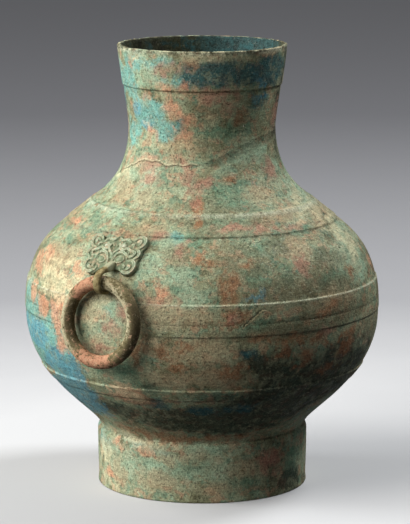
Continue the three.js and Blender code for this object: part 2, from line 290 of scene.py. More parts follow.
# %% Outline of the outside
row_gap, closest_gap = 3.1, 1.2
edge_steps = (-1.1, -0.42, -0.14, 0.14, 0.42, 1.1)
line_steps = np.array([-0.9, -0.3, 0.3, 0.9])
even_rows = surface(np.arange(0.9, line_length[-1] - closest_gap, row_gap), "length")[1]
edges = [edge for band in bands.values() for edge in band if edge < vase_height]
edge_rows = [edge + step for edge in edges for step in edge_steps]
close_rows = np.concatenate([edge_rows, belly_line_height + line_steps])
apart = np.abs(even_rows[:, None] - close_rows[None, :]).min(axis=1) > closest_gap
outer_heights = np.sort(np.concatenate([even_rows[apart], close_rows]))
radius, height, _, out, up = surface(outer_heights)
lift = band_lift(outer_heights)
body_rows = np.column_stack([radius + out * lift, height + up * lift])

chamfer_step = 0.3
round_centre = foot_radius + foot_swell - foot_round
round_reach = waist_radius - round_centre
round_height = foot_height - math.sqrt(foot_round**2 - round_reach**2)
foot_line = np.array([
    [foot_radius - foot_chamfer, 0], [foot_radius - chamfer_step, chamfer_step],
    [foot_radius, foot_chamfer], [foot_radius + 0.8 * foot_swell, 0.55 * round_height],
    [foot_radius + foot_swell, round_height]])
foot_rows = np.arange(5, round_height - 1, 3.2)
foot_z = np.concatenate([[0, chamfer_step, foot_chamfer, 2], foot_rows, [round_height]])
foot_r = np.interp(foot_z, foot_line[:, 1], foot_line[:, 0])
round_angles = np.linspace(0, math.acos(round_reach / foot_round), 7)[1:]
foot_top = np.column_stack([
    round_centre + foot_round * np.cos(round_angles), round_height + foot_round * np.sin(round_angles)])

wall = 2.5
at_mouth = surface(vase_height)
lip_out = float(at_mouth[0] + band_proud * at_mouth[3])
lip_in = mouth_radius - wall
lip_line = np.array([
    [lip_out, vase_height - 0.9], [lip_out - 0.12, vase_height - 0.35], [lip_out - 0.5, vase_height],
    [(lip_out + lip_in) / 2, vase_height], [lip_in + 0.5, vase_height]])
outer_line = np.vstack([np.column_stack([foot_r, foot_z]), foot_top, body_rows, lip_line])
print(len(outer_line), "rings outside")

# %% [markdown]
# The inside follows the outside at the wall's thickness. The floor sags between the walls of
# the foot, and the foot is open underneath, with a thicker wall of its own.

# %% Outline of the inside and the underside
foot_wall, floor_sag = 3.4, 9.0
inside_rows, floor_rows, under_rows = 52, 12, 8
radius, height, _, out, up = surface(np.linspace(line_length[-1] - 3, 0, inside_rows), "length")
inner_wall = np.column_stack([radius - wall * out, height - wall * up])
floor_edge = foot_radius - foot_wall
floor_share = np.linspace(0.97, 0.06, floor_rows)
floor_z = foot_height - wall - floor_sag * (1 - floor_share**2)
floor_top = np.column_stack([floor_edge * floor_share, floor_z + wall])
floor_under = np.column_stack([floor_edge * floor_share, floor_z])
foot_inside = np.column_stack([
    np.full(under_rows, floor_edge), np.linspace(foot_height - wall, 0, under_rows)])
inner_line = np.vstack([[lip_in, vase_height - 0.5], inner_wall, floor_top])
under_line = np.vstack([floor_under[::-1], foot_inside])
print(len(inner_line) + len(under_line), "coarse rings inside and under")

# %% [markdown]
# ### Dents, wear and the lip
#
# No old casting is perfectly round. Soft noise pushes the wall in by a few tenths of a
# millimetre over a hand's breadth, and a finer noise makes it faintly lumpy. Everything goes
# inwards, so the vase stays inside the size of the model. The lip dips and is nibbled.


# %% Wear of the wall
def lumps(points, size, seed):
    """Smooth noise of the given size in mm at each point, from about -1 to 1."""
    place = Vector((seed * 17.3, seed * 5.1, seed * 9.7))
    return np.array([noise.noise(Vector(p) / size + place) for p in points])


def ring_points(line, columns):
    """Points in mm of the rings that a line makes round the axis, with each point's turn and ring."""
    turns = np.linspace(-math.pi, math.pi, columns, endpoint=False)
    turn, row = (grid.ravel() for grid in np.meshgrid(turns, np.arange(len(line))))
    radius, height = line[row].T
    return np.column_stack([radius * np.cos(turn), radius * np.sin(turn), height]), turn, row


fine_columns, coarse_columns = 512, 128
outer_points, outer_turn, outer_row = ring_points(outer_line, fine_columns)
outer_height = outer_points[:, 2].copy()
outer_out = np.column_stack([np.cos(outer_turn), np.sin(outer_turn), np.zeros(len(outer_turn))])
broad, small, tiny = (lumps(outer_points, size, seed) for size, seed in ((55.0, 1), (13.0, 2), (4.5, 3)))
worn_in = 0.35 * (broad - 1) + 0.11 * (small - 1) + 0.05 * (tiny - 1)
worn_in *= soft_step(outer_height / 6.0)
print("the wall is pushed in by up to", round(float(-worn_in.min()), 2), "mm")

# %% [markdown]
# ### Cracks
#
# Three fine marks show in relief: a crack that wanders round the foot of the neck with a
# slightly raised lip, a soft fold that leads on from it, and a scratch across the belly band.
# Each is given by a few places in the picture. Every point of the mesh gets its distance from
# the line, and that distance drives both the relief here and the colour later.


# %% Distances from drawn lines
def on_map(turn, height, turn_zero):
    """Sideways and upward mm on the unrolled surface about one turn."""
    side = (turn - turn_zero + math.pi) % (2 * math.pi) - math.pi
    return side * np.interp(height, outline_heights, outline_radii), length_at(height)


def distance_to(line, points):
    """For each point, its distance from a line, the side that it is on, and the share along."""
    best = np.full(len(points), 1e9)
    hand, along = np.zeros(len(points)), np.zeros(len(points))
    for i, (a, b) in enumerate(zip(line[:-1], line[1:])):
        run = b - a
        share = np.clip(((points - a) @ run) / (run @ run), 0, 1)
        off_x, off_y = (points - a - share[:, None] * run).T
        gap = np.hypot(off_x, off_y)
        near = gap < best
        best[near] = gap[near]
        hand[near] = np.sign(run[0] * off_y - run[1] * off_x)[near]
        along[near] = ((i + share) / (len(line) - 1))[near]
    return best, hand, along


drawn_lines = {
    "crack": [(120, 171.5), (127, 167), (134, 164), (140, 161), (146, 160), (152, 161), (158, 161.5),
              (163, 164.5), (168, 166), (175, 165), (181, 166.5), (188, 164.5), (196, 165.5), (203, 165)],
    "fold": [(203, 165), (215, 160.5), (231, 152.5), (247, 143.5), (266, 135), (278, 128)],
    "scratch": [(268, 307.5), (260, 313), (250, 322), (242, 329)],
}
line_gap, line_strength = {}, {}
for name, places in drawn_lines.items():
    spots = [spot(x, y)[:2] for x, y in places]
    middle = spots[len(spots) // 2][0]
    line = np.array([on_map(turn, height, middle) for turn, height in spots])
    gap, hand, along = distance_to(line, np.column_stack(on_map(outer_turn, outer_height, middle)))
    line_gap[name] = gap * hand
    line_strength[name] = soft_step(np.minimum(along, 1 - along) / 0.12)
print("the crack is seen over", int((np.abs(line_gap["crack"]) < 1).sum()), "points")

# %% [markdown]
# Each line is made of ridges and grooves that run beside it. A row of the table gives the line,
# how far to its left the ridge runs, its half width and its height, all in millimetres, with a
# groove less than nought. They fade out at the line's two ends.

# %% Relief along the lines
line_ridges = [
    ("crack", 1.0, 1.1, 0.34), ("crack", -0.5, 0.6, -0.42), ("fold", -1.5, 2.6, -0.45),
    ("scratch", 0.0, 0.8, 0.30), ("scratch", -1.5, 0.9, -0.25),
]
line_relief = sum(line_strength[name] * rise * hump(line_gap[name] - beside, half)
                  for name, beside, half, rise in line_ridges)
print("lines cut up to", round(float(-line_relief.min()), 2), "mm deep")

# %% [markdown]
# ## Map of the patina
#
# These are the patches, colour by colour, each as its place in the picture with its half width and half
# height, and a tilt in degrees where it leans. Blue and turquoise are copper carbonates, green is malachite,
# salmon and rust are cuprite and tin oxide, and cream is lime from the earth. Some patches are painted light
# and shade: the dark patches are partly painted shade, many cream patches are partly painted highlight, and
# two pale green patches at the right of the neck paint light on the flare. Crust is raised as well as
# coloured.

# %% Map of the patina
patches = {
    # Two pale green patches at the right of the neck's foot, at (252, 152) and (270, 160), are painted light
    # on the flare.
    "pale_green": [
        (170, 464, 56, 14), (128, 466, 16, 16), (216, 472, 24, 8), (146, 446, 30, 6, 2),
        (70, 384, 12, 8, -30), (106, 312, 18, 18), (100, 334, 12, 10), (252, 152, 18, 9, -20),
        (270, 160, 10, 12), (228, 168, 12, 8), (292, 186, 16, 8, -30), (120, 188, 8, 9), (146, 70, 14, 20),
        (136, 55, 10, 8), (134, 176, 12, 8, 15), (118, 212, 14, 8, 20), (92, 208, 12, 7, 20),
        (150, 187, 12, 22), (168, 240, 16, 9), (183, 275, 14, 18), (150, 266, 10, 14),
        (343, 232, 20, 16, -30), (356, 262, 12, 22, -15), (300, 205, 22, 10, -15), (104, 330, 14, 10),
        (112, 456, 12, 16), (158, 470, 18, 14), (205, 452, 26, 8), (62, 246, 8, 6), (190, 300, 16, 10),
    ],
    "green": [
        (228, 222, 28, 8), (240, 190, 18, 8, -8), (192, 240, 14, 8), (228, 130, 24, 8, -12),
        (284, 283, 9, 8), (266, 290, 9, 9), (226, 203, 34, 8, -4), (262, 248, 26, 9, -6), (205, 222, 22, 5),
        (250, 214, 26, 4, -4), (300, 232, 18, 6, -14), (255, 276, 20, 11, 8), (285, 278, 9, 12),
        (322, 257, 10, 8), (333, 281, 18, 11), (342, 277, 7, 6), (220, 190, 14, 7), (130, 355, 9, 10, 30),
        (148, 384, 20, 9, 15), (163, 181, 6, 14, 10), (215, 303, 7, 16), (246, 482, 12, 7, 10),
        (188, 463, 16, 5), (118, 371, 24, 8, 12), (290, 462, 7, 14), (240, 312, 5, 8), (262, 325, 14, 6),
        (75, 236, 3, 4), (100, 313, 4, 4), (128, 270, 5, 4), (172, 290, 7, 6), (96, 215, 10, 5, 20),
        (208, 230, 10, 4),
    ],
    "turquoise": [
        (131, 72, 6, 24), (138, 60, 7, 12), (158, 62, 12, 6), (148, 113, 17, 16), (168, 130, 14, 9, 10),
        (134, 128, 6, 14), (163, 80, 5, 3), (178, 81, 4, 4), (32, 318, 10, 26), (42, 342, 22, 20, -25),
        (60, 362, 20, 16, -35), (55, 314, 4, 5), (141, 445, 18, 3, 4), (104, 440, 6, 8), (28, 314, 6, 18),
        (103, 313, 3, 2), (175, 238, 6, 4), (146, 60, 10, 5),
    ],
    "azure": [
        (70, 378, 20, 14, -35), (80, 394, 18, 8, -28), (36, 332, 9, 15), (52, 357, 14, 11, -30),
        (148, 122, 6, 5), (136, 106, 4, 6), (259, 98, 5, 4), (256, 300, 8, 5), (94, 407, 14, 6, -20),
        (259, 81, 5, 4), (60, 392, 10, 8, -35),
    ],
    "teal": [
        (216, 74, 38, 15), (244, 76, 22, 13), (272, 70, 14, 16), (258, 100, 10, 8), (192, 80, 14, 8),
        (250, 356, 8, 5, 20), (150, 405, 14, 4, 6), (198, 411, 12, 3), (242, 409, 12, 4, -4),
        (268, 60, 12, 8), (180, 128, 7, 6),
    ],
    "olive": [
        (190, 221, 30, 8), (226, 214, 28, 8), (252, 272, 16, 10), (300, 290, 42, 15, -8), (238, 262, 26, 10),
        (330, 262, 18, 12), (316, 300, 24, 8, -8), (336, 298, 26, 22, -8), (176, 256, 12, 12),
        (230, 232, 40, 7, -2), (262, 220, 30, 6, -8), (280, 246, 22, 9, -10), (200, 206, 24, 6),
        (160, 233, 14, 6), (372, 325, 10, 14), (226, 372, 44, 10), (240, 340, 30, 10), (200, 345, 22, 8),
        (214, 112, 22, 8, -8), (205, 104, 20, 6), (200, 146, 10, 6), (276, 120, 8, 18), (140, 318, 10, 22),
        (330, 318, 50, 12, -8), (195, 222, 8, 6), (232, 250, 22, 8), (300, 330, 60, 14, -6),
        (150, 345, 14, 8, 10),
    ],
    "tan": [
        (96, 342, 10, 8), (110, 290, 14, 8), (178, 146, 18, 10), (140, 102, 9, 7), (123, 190, 13, 12, 20),
        (152, 228, 12, 6), (180, 320, 40, 12), (200, 352, 40, 14), (205, 380, 40, 8), (58, 255, 16, 16),
        (96, 265, 8, 10), (262, 196, 14, 8, -20), (300, 250, 14, 16), (215, 487, 18, 8), (178, 458, 30, 5),
        (250, 470, 18, 8), (118, 470, 8, 18), (280, 212, 24, 8, -14), (318, 214, 14, 8, -30),
        (140, 442, 26, 5, 4), (155, 480, 22, 10), (165, 380, 28, 11, 8), (148, 196, 14, 7),
        (330, 300, 20, 8, -8), (188, 90, 24, 3), (160, 305, 14, 12),
    ],
    "salmon": [
        (170, 109, 7, 13, -14), (186, 125, 4, 11, 20), (152, 97, 4, 3), (163, 87, 4, 4), (185, 87, 5, 4),
        (153, 131, 4, 5), (80, 219, 5, 4), (89, 232, 3, 4), (48, 254, 5, 9, 30), (37, 265, 6, 9, 35),
        (75, 268, 4, 8, 35), (43, 307, 5, 12, 10), (58, 316, 7, 22, 5), (160, 293, 5, 6),
        (146, 452, 9, 4, 4), (110, 471, 3, 5), (131, 300, 4, 6), (62, 344, 6, 10, -20), (34, 292, 4, 8),
        (100, 320, 4, 4), (126, 394, 14, 8, 28), (132, 62, 3, 8), (183, 137, 6, 6, 20), (116, 443, 4, 3),
    ],
    "rose": [
        (110, 330, 7, 6), (97, 347, 7, 4), (120, 312, 6, 8), (168, 70, 12, 5, -10), (150, 162, 14, 7, 10),
        (150, 182, 9, 7), (208, 184, 9, 8), (235, 99, 5, 5), (229, 108, 4, 5), (188, 176, 7, 7, 20),
        (199, 192, 6, 12, 4), (268, 166, 6, 14, 8), (243, 228, 17, 3, -3), (158, 236, 6, 3),
        (180, 253, 3.5, 7, 15), (160, 301, 9, 3), (233, 315, 4, 4), (302, 262, 8, 10, 30), (272, 459, 10, 8),
        (275, 472, 4, 4), (330, 327, 8, 4), (276, 112, 4, 6), (186, 162, 3, 2), (215, 94, 16, 5),
        (290, 226, 14, 3, -6),
    ],
    "rust": [
        (200, 438.5, 60, 2.5), (165, 434, 22, 3, 5), (326, 366, 8, 4, -14), (300, 366, 7, 4, -10),
        (350, 330, 8, 5, -16), (282, 352, 8, 4, -8), (240, 386, 8, 3), (290, 342, 13, 6, -8),
        (306, 356, 9, 8), (330, 308, 13, 5, -10), (262, 342, 8, 5), (345, 348, 8, 10, -20),
        (318, 338, 10, 4, -10), (232, 372, 14, 5), (180, 366, 10, 6), (140, 345, 6, 9, 30), (160, 352, 7, 4),
        (203, 259, 6, 5, 20), (244, 268, 7, 4, -20), (228, 288, 11, 18, 10), (236, 314, 11, 9),
        (243, 118, 6, 6), (234, 181, 7, 4, 10), (198, 212, 5, 12, 8), (352, 274, 3, 7, 10), (190, 61, 5, 3),
        (132, 356, 6, 10, 30), (136, 400, 12, 6, 18), (175, 437, 50, 3), (150, 434, 28, 3, 8),
        (232, 437, 20, 2, -8), (214, 262, 4, 3), (176, 347, 14, 4, 5), (262, 56, 8, 3), (275, 455, 9, 6),
        (196, 224, 5, 4),
    ],
    # The dark patches are partly dark patina and partly painted shade: under the belly above the foot, on the
    # lower right away from the main light, and in the hollow under the nose.
    "dark": [
        (278, 375, 22, 13, -20), (330, 362, 36, 16, -20), (246, 353, 8, 6, 10), (268, 362, 26, 12, -10),
        (118, 410, 24, 7, 12), (255, 372, 9, 5), (300, 384, 14, 8, -10), (262, 388, 14, 6),
        (222, 398, 12, 4), (338, 344, 16, 7, -14), (318, 372, 14, 7, -14), (150, 388, 8, 4),
        (110, 274, 5, 4), (222, 416, 96, 9), (300, 395, 70, 18, -8), (270, 414, 44, 10, -6),
        (245, 428, 44, 5), (75, 238, 2, 3), (340, 375, 30, 14, -30), (215, 424, 90, 8), (282, 80, 6, 26),
        (290, 480, 10, 14),
    ],
    # Many cream patches are partly painted highlight: those at the left of the belly, inside the left ring
    # against the ring's shadow, and along the right shoulder. The rest are lime and crust.
    "cream": [
        (90, 301, 10, 11), (94, 314, 8, 12), (136, 441, 24, 3.5, 3), (96, 300, 11, 9), (90, 322, 8, 8),
        (318, 214, 8, 6, -40), (334, 226, 10, 8, -45), (352, 244, 8, 10, -40), (298, 196, 10, 4, -30),
        (205, 54, 27, 4.5), (262, 53, 9, 2.5), (55, 283, 14, 14), (50, 268, 8, 12), (148, 120, 2, 2),
        (213, 118, 2, 2), (124, 169, 8, 2.5, -25), (62, 300, 8, 6), (138, 53, 7, 3), (105, 448, 6, 14),
        (122, 391, 11, 6, 30), (134, 399, 8, 4, 20), (330, 222, 8, 6, -40), (305, 210, 12, 5, -20),
        (64, 262, 8, 6), (150, 344, 6, 3), (110, 482, 6, 5, 20), (70, 285, 9, 8),
    ],
    "crust": [
        (205, 54, 27, 4), (126, 394, 15, 7, 28), (150, 392, 6, 3, 20), (262, 53, 8, 2.5),
    ],
}
mm_per_px = camera_reach * 1000 / focal_px * 0.95
placed = {}
for tone, places in patches.items():
    placed[tone] = []
    for x, y, half_width, half_height, *tilt in places:
        turn, height, sideways, upward = spot(x, y)
        half_side, half_rise = half_width * mm_per_px / sideways, half_height * mm_per_px / upward
        placed[tone].append((turn, height, half_side, half_rise, -tilt[0] if tilt else 0))
print(sum(len(places) for places in patches.values()), "patches on the side that the camera sees")

# %% [markdown]
# The side away from the camera gets the same colours, fewer and strewn by a seeded generator, as a buried
# vase would have them all round. A row gives the number of patches, the lowest and highest place and the
# usual half size in millimetres: dark and azure low down, the dark partly painted shade under the belly,
# salmon and rust anywhere, teal near the mouth.

# %% Patches on the far side
chance = np.random.default_rng(7)
far_side = {
    "pale_green": (26, 60, 320, 14), "green": (22, 50, 300, 9), "turquoise": (20, 10, 325, 11),
    "azure": (9, 50, 130, 10), "teal": (7, 250, 325, 9), "olive": (12, 60, 300, 12),
    "tan": (26, 5, 310, 14), "salmon": (22, 5, 320, 5), "rose": (18, 5, 320, 6), "rust": (14, 40, 300, 6),
    "dark": (7, 50, 95, 11), "cream": (14, 150, 328, 5), "crust": (3, 60, 328, 5),
}
camera_turn = math.atan2(away.y, away.x)
far_half_turn = 1.75
for tone, (count, low, high, size) in far_side.items():
    for _ in range(count):
        turn = camera_turn + math.pi + chance.uniform(-far_half_turn, far_half_turn)
        height = chance.uniform(low, high)
        half = size * chance.uniform(0.45, 1.4)
        placed[tone].append((turn, height, half * chance.uniform(0.8, 1.6), half, chance.uniform(-30, 30)))
print(sum(row[0] for row in far_side.values()), "patches on the far side")

# %% [markdown]
# Every point now gets one number for each colour: about how many millimetres it lies inside the
# nearest patch. The map is warped by noise first, so no patch keeps the shape of an ellipse.

# %% Fields of the patches
deepest, farthest, spare = 6, -8, 12


def warp(fine_seed, coarse_seed):
    return 3.2 * lumps(outer_points, 9.0, fine_seed) + 5.0 * lumps(outer_points, 26.0, coarse_seed)


warp_side, warp_rise = warp(41, 42), warp(43, 44)


def patch_field(places):
    """About how many mm each outer point lies inside the nearest patch, less than nought outside."""
    field = np.full(len(outer_turn), float(farthest))
    for turn, height, half_side, half_rise, tilt in places:
        side, rise = on_map(outer_turn, outer_height, turn)
        rise = rise - length_at(height)
        reach = half_side + half_rise + spare
        near = (np.abs(side) < reach) & (np.abs(rise) < reach)
        side, rise = side[near] + warp_side[near], rise[near] + warp_rise[near]
        lean = math.radians(tilt)
        x = (side * math.cos(lean) + rise * math.sin(lean)) / half_side
        y = (rise * math.cos(lean) - side * math.sin(lean)) / half_rise
        field[near] = np.maximum(field[near], (1 - np.hypot(x, y)) * min(half_side, half_rise))
    return np.clip(field, farthest, deepest)


fields = {tone: patch_field(places) for tone, places in placed.items()}
below_lip = outer_height < vase_height - 1.5
crust_relief = 0.5 * soft_step(fields["crust"] / 2) * (0.6 + 0.4 * tiny) * below_lip
print({tone: round(float((field > 0).mean()), 3) for tone, field in fields.items()}, "share of the outside")

# %% [markdown]
# ### Building the vessel
#
# The rings are moved first. The belly band is worn down where the rings swing against it, and
# the lip dips in long soft waves and is nibbled in short ones.

# %% Moving the points
lip_dip = np.clip(lumps(outer_points * [1, 1, 0], 16.0, 5) - 0.1, 0, 1)
lip_dip += np.clip(lumps(outer_points * [1, 1, 0], 3.5, 6) - 0.2, 0, 1) * 0.9
near_lip = soft_step((outer_height - (vase_height - 5)) / 5)
from_handle = np.abs((outer_turn + math.pi / 2) % math.pi - math.pi / 2)
by_ring = soft_step(1.6 - from_handle / math.radians(19))
band_low, band_high = bands["belly"]
worn_band = soft_step((outer_height - band_low) / 5) * soft_step((band_high - outer_height) / 5)
on_band = (outer_height > band_low - 1.2) & (outer_height < band_high + 1.2)
worn_lift = np.where(on_band, band_proud * worn_band - band_lift(outer_height), 0)
relief = worn_in + np.minimum(worn_lift, 0) * by_ring * 0.8 + line_relief + crust_relief
on_lip = outer_row >= len(outer_line) - 4
relief[on_lip] = np.minimum(relief[on_lip], 0) * 0.5
outer_points += outer_out * relief[:, None]
outer_points[:, 2] -= near_lip * lip_dip
inner_points = ring_points(inner_line, coarse_columns)[0]
under_points = ring_points(under_line, coarse_columns)[0]
print("the lip dips by up to", round(float(lip_dip.max()), 2), "mm")

# %% [markdown]
# Now the rings are joined. Between the fine outside and the coarse inside there are two rows of
# faces, on the flat of the lip and on the flat under the foot, where one coarse edge faces four
# fine ones. The mesh is one closed skin, as the casting is one piece of metal.


# %% Joining the rings
def ring_faces(first, rows, columns):
    row, column = np.meshgrid(np.arange(rows - 1), np.arange(columns), indexing="ij")
    after = (column + 1) % columns
    low, high = first + row * columns, first + (row + 1) * columns
    return np.stack([low + column, low + after, high + after, high + column], axis=-1).reshape(-1, 4).tolist()


def joining_faces(fine_first, coarse_first):
    """One face for each coarse edge, with the fine points that lie opposite."""
    share = fine_columns // coarse_columns
    faces = []
    for i in range(coarse_columns):
        fine = [fine_first + (i * share + k) % fine_columns for k in range(share + 1)]
        faces.append(fine + [coarse_first + (i + 1) % coarse_columns, coarse_first + i])
    return faces


def closing_faces(first, middle):
    """A fan of triangles from the last coarse ring to the point in its middle."""
    return [[first + i, first + (i + 1) % coarse_columns, middle] for i in range(coarse_columns)]


inner_first = len(outer_points)
under_first = inner_first + len(inner_points)
middle_first = under_first + len(under_points)
middles = [[0, 0, floor_z[-1] + wall], [0, 0, floor_z[-1]]]
all_points = np.vstack([outer_points, inner_points, under_points, middles])
vessel_faces = ring_faces(0, len(outer_line), fine_columns)
vessel_faces += ring_faces(inner_first, len(inner_line), coarse_columns)
vessel_faces += ring_faces(under_first, len(under_line), coarse_columns)
vessel_faces += joining_faces((len(outer_line) - 1) * fine_columns, inner_first)
vessel_faces += joining_faces(0, under_first + (len(under_line) - 1) * coarse_columns)
vessel_faces += closing_faces(inner_first + (len(inner_line) - 1) * coarse_columns, middle_first)
vessel_faces += closing_faces(under_first, middle_first + 1)


def new_piece(name, points_mm, faces):
    """A smooth mesh object from points in millimetres, with its faces turned outwards."""
    mesh = bpy.data.meshes.new(name)
    mesh.from_pydata((np.asarray(points_mm) / 1000).tolist(), [], faces)
    work = bmesh.new()
    work.from_mesh(mesh)
    bmesh.ops.recalc_face_normals(work, faces=work.faces)
    work.to_mesh(mesh)
    work.free()
    mesh.polygons.foreach_set("use_smooth", [True] * len(mesh.polygons))
    return add_object(name, mesh)


def triangles(piece):
    return sum(len(p.vertices) - 2 for p in piece.data.polygons)


vessel = new_piece("vessel_cast", all_points, vessel_faces)
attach(vessel, "vase")
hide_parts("vessel")
print("vessel has", triangles(vessel), "triangles")

# %% [markdown]
# ### Numbers for the vessel's finish
#
# Each patch colour becomes one number per point. A few more tell the material where a band's upper edge gets
# a painted highlight with some rubbing, where painted shade and some dirt sit under a band, where the cracks
# run, and which points are inside.


# %% Numbers for the vessel's finish
def paint(piece, name, values):
    """Keeps one number for each point of a piece, which its material can read."""
    layer = piece.data.attributes.new(name, "FLOAT", "POINT")
    layer.data.foreach_set("value", np.asarray(values, np.float32))


def paint_outside(name, values, inside=0.0):
    """Paints the vessel's outside, and one value on its inside and underside."""
    paint(vessel, name, np.concatenate([values, np.full(len(all_points) - len(values), inside)]))


def along_edges(heights, shift, half):
    """1 along each of the given heights, moved by a shift, and fading above and below it."""
    return hump(np.abs(outer_height[:, None] - heights + shift).min(axis=1), half)


for tone, field in fields.items():
    paint_outside(tone, field)
upper_edges = np.array([high for low, high in bands.values() if high < vase_height] + [vase_height - 0.5])
lower_edges = np.array([low for low, high in bands.values()] + [foot_height, belly_line_height])
near_band = (outer_height > band_low - 3) & (outer_height < band_high - 3)
# Painted highlight with some real rubbing along each band's upper edge and the lip, weaker below the belly
# where less light falls; painted shade with some dirt under each lower edge.
rubbed_and_lit_edges = along_edges(upper_edges, 0.25, 0.5) * (1 - 0.5 * by_ring)
paint_outside("rubbed_and_lit_edges", rubbed_and_lit_edges * np.where(outer_height < belly_height, 0.36, 1.0))
paint_outside("dirt_and_shade_under_edges", along_edges(lower_edges, 0.2, 0.75) * (1 - 0.85 * by_ring * near_band))
paint_outside("lip", hump(vase_height - outer_height, 2.0))
for name, gap in line_gap.items():
    paint_outside(name, np.clip(gap, -20, 20) / (line_strength[name] + 0.02), 99.0)
paint_outside("inside", (outer_row >= len(outer_line) - 1).astype(float), 1.0)
# Marks the part of the far inner wall where the main light falls, for painted light in blue green.
all_turn = np.arctan2(all_points[:, 1], all_points[:, 0])
off_wall = np.abs((all_turn - camera_turn + math.radians(35)) % (2 * math.pi) - math.pi)
paint(vessel, "far_wall", soft_step(1.5 - off_wall / math.radians(40)))
print("painted", len(vessel.data.attributes), "layers on the vessel")

# %% [markdown]
# ## Nodes for the materials
#
# The materials are built from a few kinds of node again and again, so each kind gets a short
# helper: noise of a stated size, a soft threshold, and a colour laid over the ones before it.
# Colours are written as on a screen, from 0 to 255, and turned into linear light.


# %% Helpers for materials
def colour(red, green, blue, strength=1.0):
    """A screen colour as linear light."""
    values = [part / 255 for part in (red, green, blue)]
    linear = [v / 12.92 if v <= 0.04045 else ((v + 0.055) / 1.055) ** 2.4 for v in values]
    return (*(v * strength for v in linear), 1.0)


class Finish:
    """A material, the nodes added to it, and its colour as far as it is built."""

    def __init__(self, name, roughness):
        self.material = bpy.data.materials.new(name)
        self.material.use_nodes = True
        self.tree = self.material.node_tree
        self.shader = self.tree.nodes["Principled BSDF"]
        self.shader.inputs["Roughness"].default_value = roughness
        self.shader.inputs["Specular IOR Level"].default_value = 0.10
        self.place = self.add("ShaderNodeTexCoord").outputs["Object"]
        self.shade = None

    def add(self, kind, inputs=None, **settings):
        """A new node, with its inputs set to numbers or linked to other nodes' outputs."""
        node = self.tree.nodes.new(kind)
        for name, value in settings.items():
            setattr(node, name, value)
        for name, value in (inputs or {}).items():
            if isinstance(value, bpy.types.NodeSocket):
                self.tree.links.new(value, node.inputs[name])
            else:
                node.inputs[name].default_value = value
        return node

    def noise(self, size_mm, detail, roughness, distortion=0.0, place=None):
        """Noise with lumps of about the given size."""
        return self.add("ShaderNodeTexNoise", {
            "Vector": place or self.place, "Scale": 1000 / size_mm, "Detail": detail,
            "Roughness": roughness, "Distortion": distortion}).outputs["Fac"]

    def stretched(self, x, y, z):
        """The place in space, scaled along each axis, for streaky noise."""
        return self.add("ShaderNodeMapping", {"Vector": self.place, "Scale": (x, y, z)}).outputs[0]

    def layer(self, name):
        """A number painted on the mesh."""
        return self.add("ShaderNodeAttribute", attribute_name=name).outputs["Fac"]

    def maths(self, operation, *values):
        return self.add("ShaderNodeMath", dict(enumerate(values)), operation=operation).outputs[0]

    def sum(self, *terms):
        """Adds terms, each a number from a node or a (number, factor, offset) that is scaled first."""
        scaled = [self.maths("MULTIPLY_ADD", *term) if isinstance(term, tuple) else term for term in terms]
        total = scaled[0]
        for term in scaled[1:]:
            total = self.maths("ADD", total, term)
        return total

    def times(self, a, b):
        return self.maths("MULTIPLY", a, b)

    def over(self, value, low, high, top=1.0):
        """0 below low, 'top' above high, with a soft slope between."""
        return self.add("ShaderNodeMapRange", {
            "Value": value, "From Min": low, "From Max": high, "To Max": top},
            interpolation_type="SMOOTHSTEP").outputs["Result"]

    def ramp(self, value, *stops):
        """A run of colours over a number from 0 to 1."""
        made = self.add("ShaderNodeValToRGB", {"Fac": value})
        points = made.color_ramp.elements
        points[0].position, points[0].color = stops[0]
        points[1].position, points[1].color = stops[-1]
        for at, shade in stops[1:-1]:
            points.new(at).color = shade
        return made.outputs["Color"]

    def mix(self, factor, under, top, blend="MIX"):
        """Lays the colour 'top' on the colour 'under'."""
        made = self.add("ShaderNodeMix", {0: factor, 6: under, 7: top}, data_type="RGBA", blend_type=blend)
        return made.outputs[2]

    def tint(self, factor, top):
        """Lays a colour on the finish, by a factor from 0 to 1."""
        self.shade = self.mix(factor, self.shade, top)

    def brighten(self, value):
        """Multiplies the finish by a number about 1."""
        grey = self.add("ShaderNodeCombineColor", {0: value, 1: value, 2: value}).outputs[0]
        self.shade = self.mix(1.0, self.shade, grey, "MULTIPLY")

    def close(self, height, depth_mm, rough=None):
        """Joins colour, bump and roughness to the shader."""
        self.tree.links.new(self.shade, self.shader.inputs["Base Color"])
        bump = self.add("ShaderNodeBump", {"Height": height, "Distance": depth_mm / 1000, "Strength": 1.0})
        self.tree.links.new(bump.outputs["Normal"], self.shader.inputs["Normal"])
        if rough is not None:
            self.tree.links.new(rough, self.shader.inputs["Roughness"])
        return self.material


print("helpers are ready")

# %% [markdown]
# ## Patina of the vessel
#
# The finish is laid in the order in which it grew, with painted light and shade among its layers. First comes
# the ground: sage, olive and tan that drift into each other and break up into grains of green and pink.

# %% Ground of the patina
patina = Finish("patina_painted_light_and_shade_of_the_vessel", 0.82)
drift = patina.noise(38, 4, 0.6, 0.4)
mottle = patina.noise(10, 7, 0.68, 0.4)
ragged = patina.noise(5.0, 7, 0.74, 0.2)
greens = patina.noise(9.0, 6, 0.60, 0.3, patina.stretched(1.0, 1.1, 1.25))
pinks = patina.noise(8.0, 6, 0.60, 0.3, patina.stretched(1.15, 0.9, 1.2))
speck = patina.noise(2.0, 5, 0.75)
grain = patina.noise(0.9, 3, 0.6)
streaks = patina.noise(1.0, 4, 0.65, 0.0, patina.stretched(0.08, 0.08, 0.9))
patina.shade = patina.ramp(
    patina.sum((drift, 0.8, -0.4), mottle),
    (0.30, colour(106, 104, 78)), (0.43, colour(138, 138, 106)), (0.52, colour(154, 160, 128)),
    (0.61, colour(164, 176, 144)), (0.74, colour(188, 182, 146)))
patina.tint(patina.over(greens, 0.48, 0.60, 0.65), colour(108, 140, 116))
patina.tint(patina.over(pinks, 0.50, 0.61, 0.60), colour(184, 144, 114))
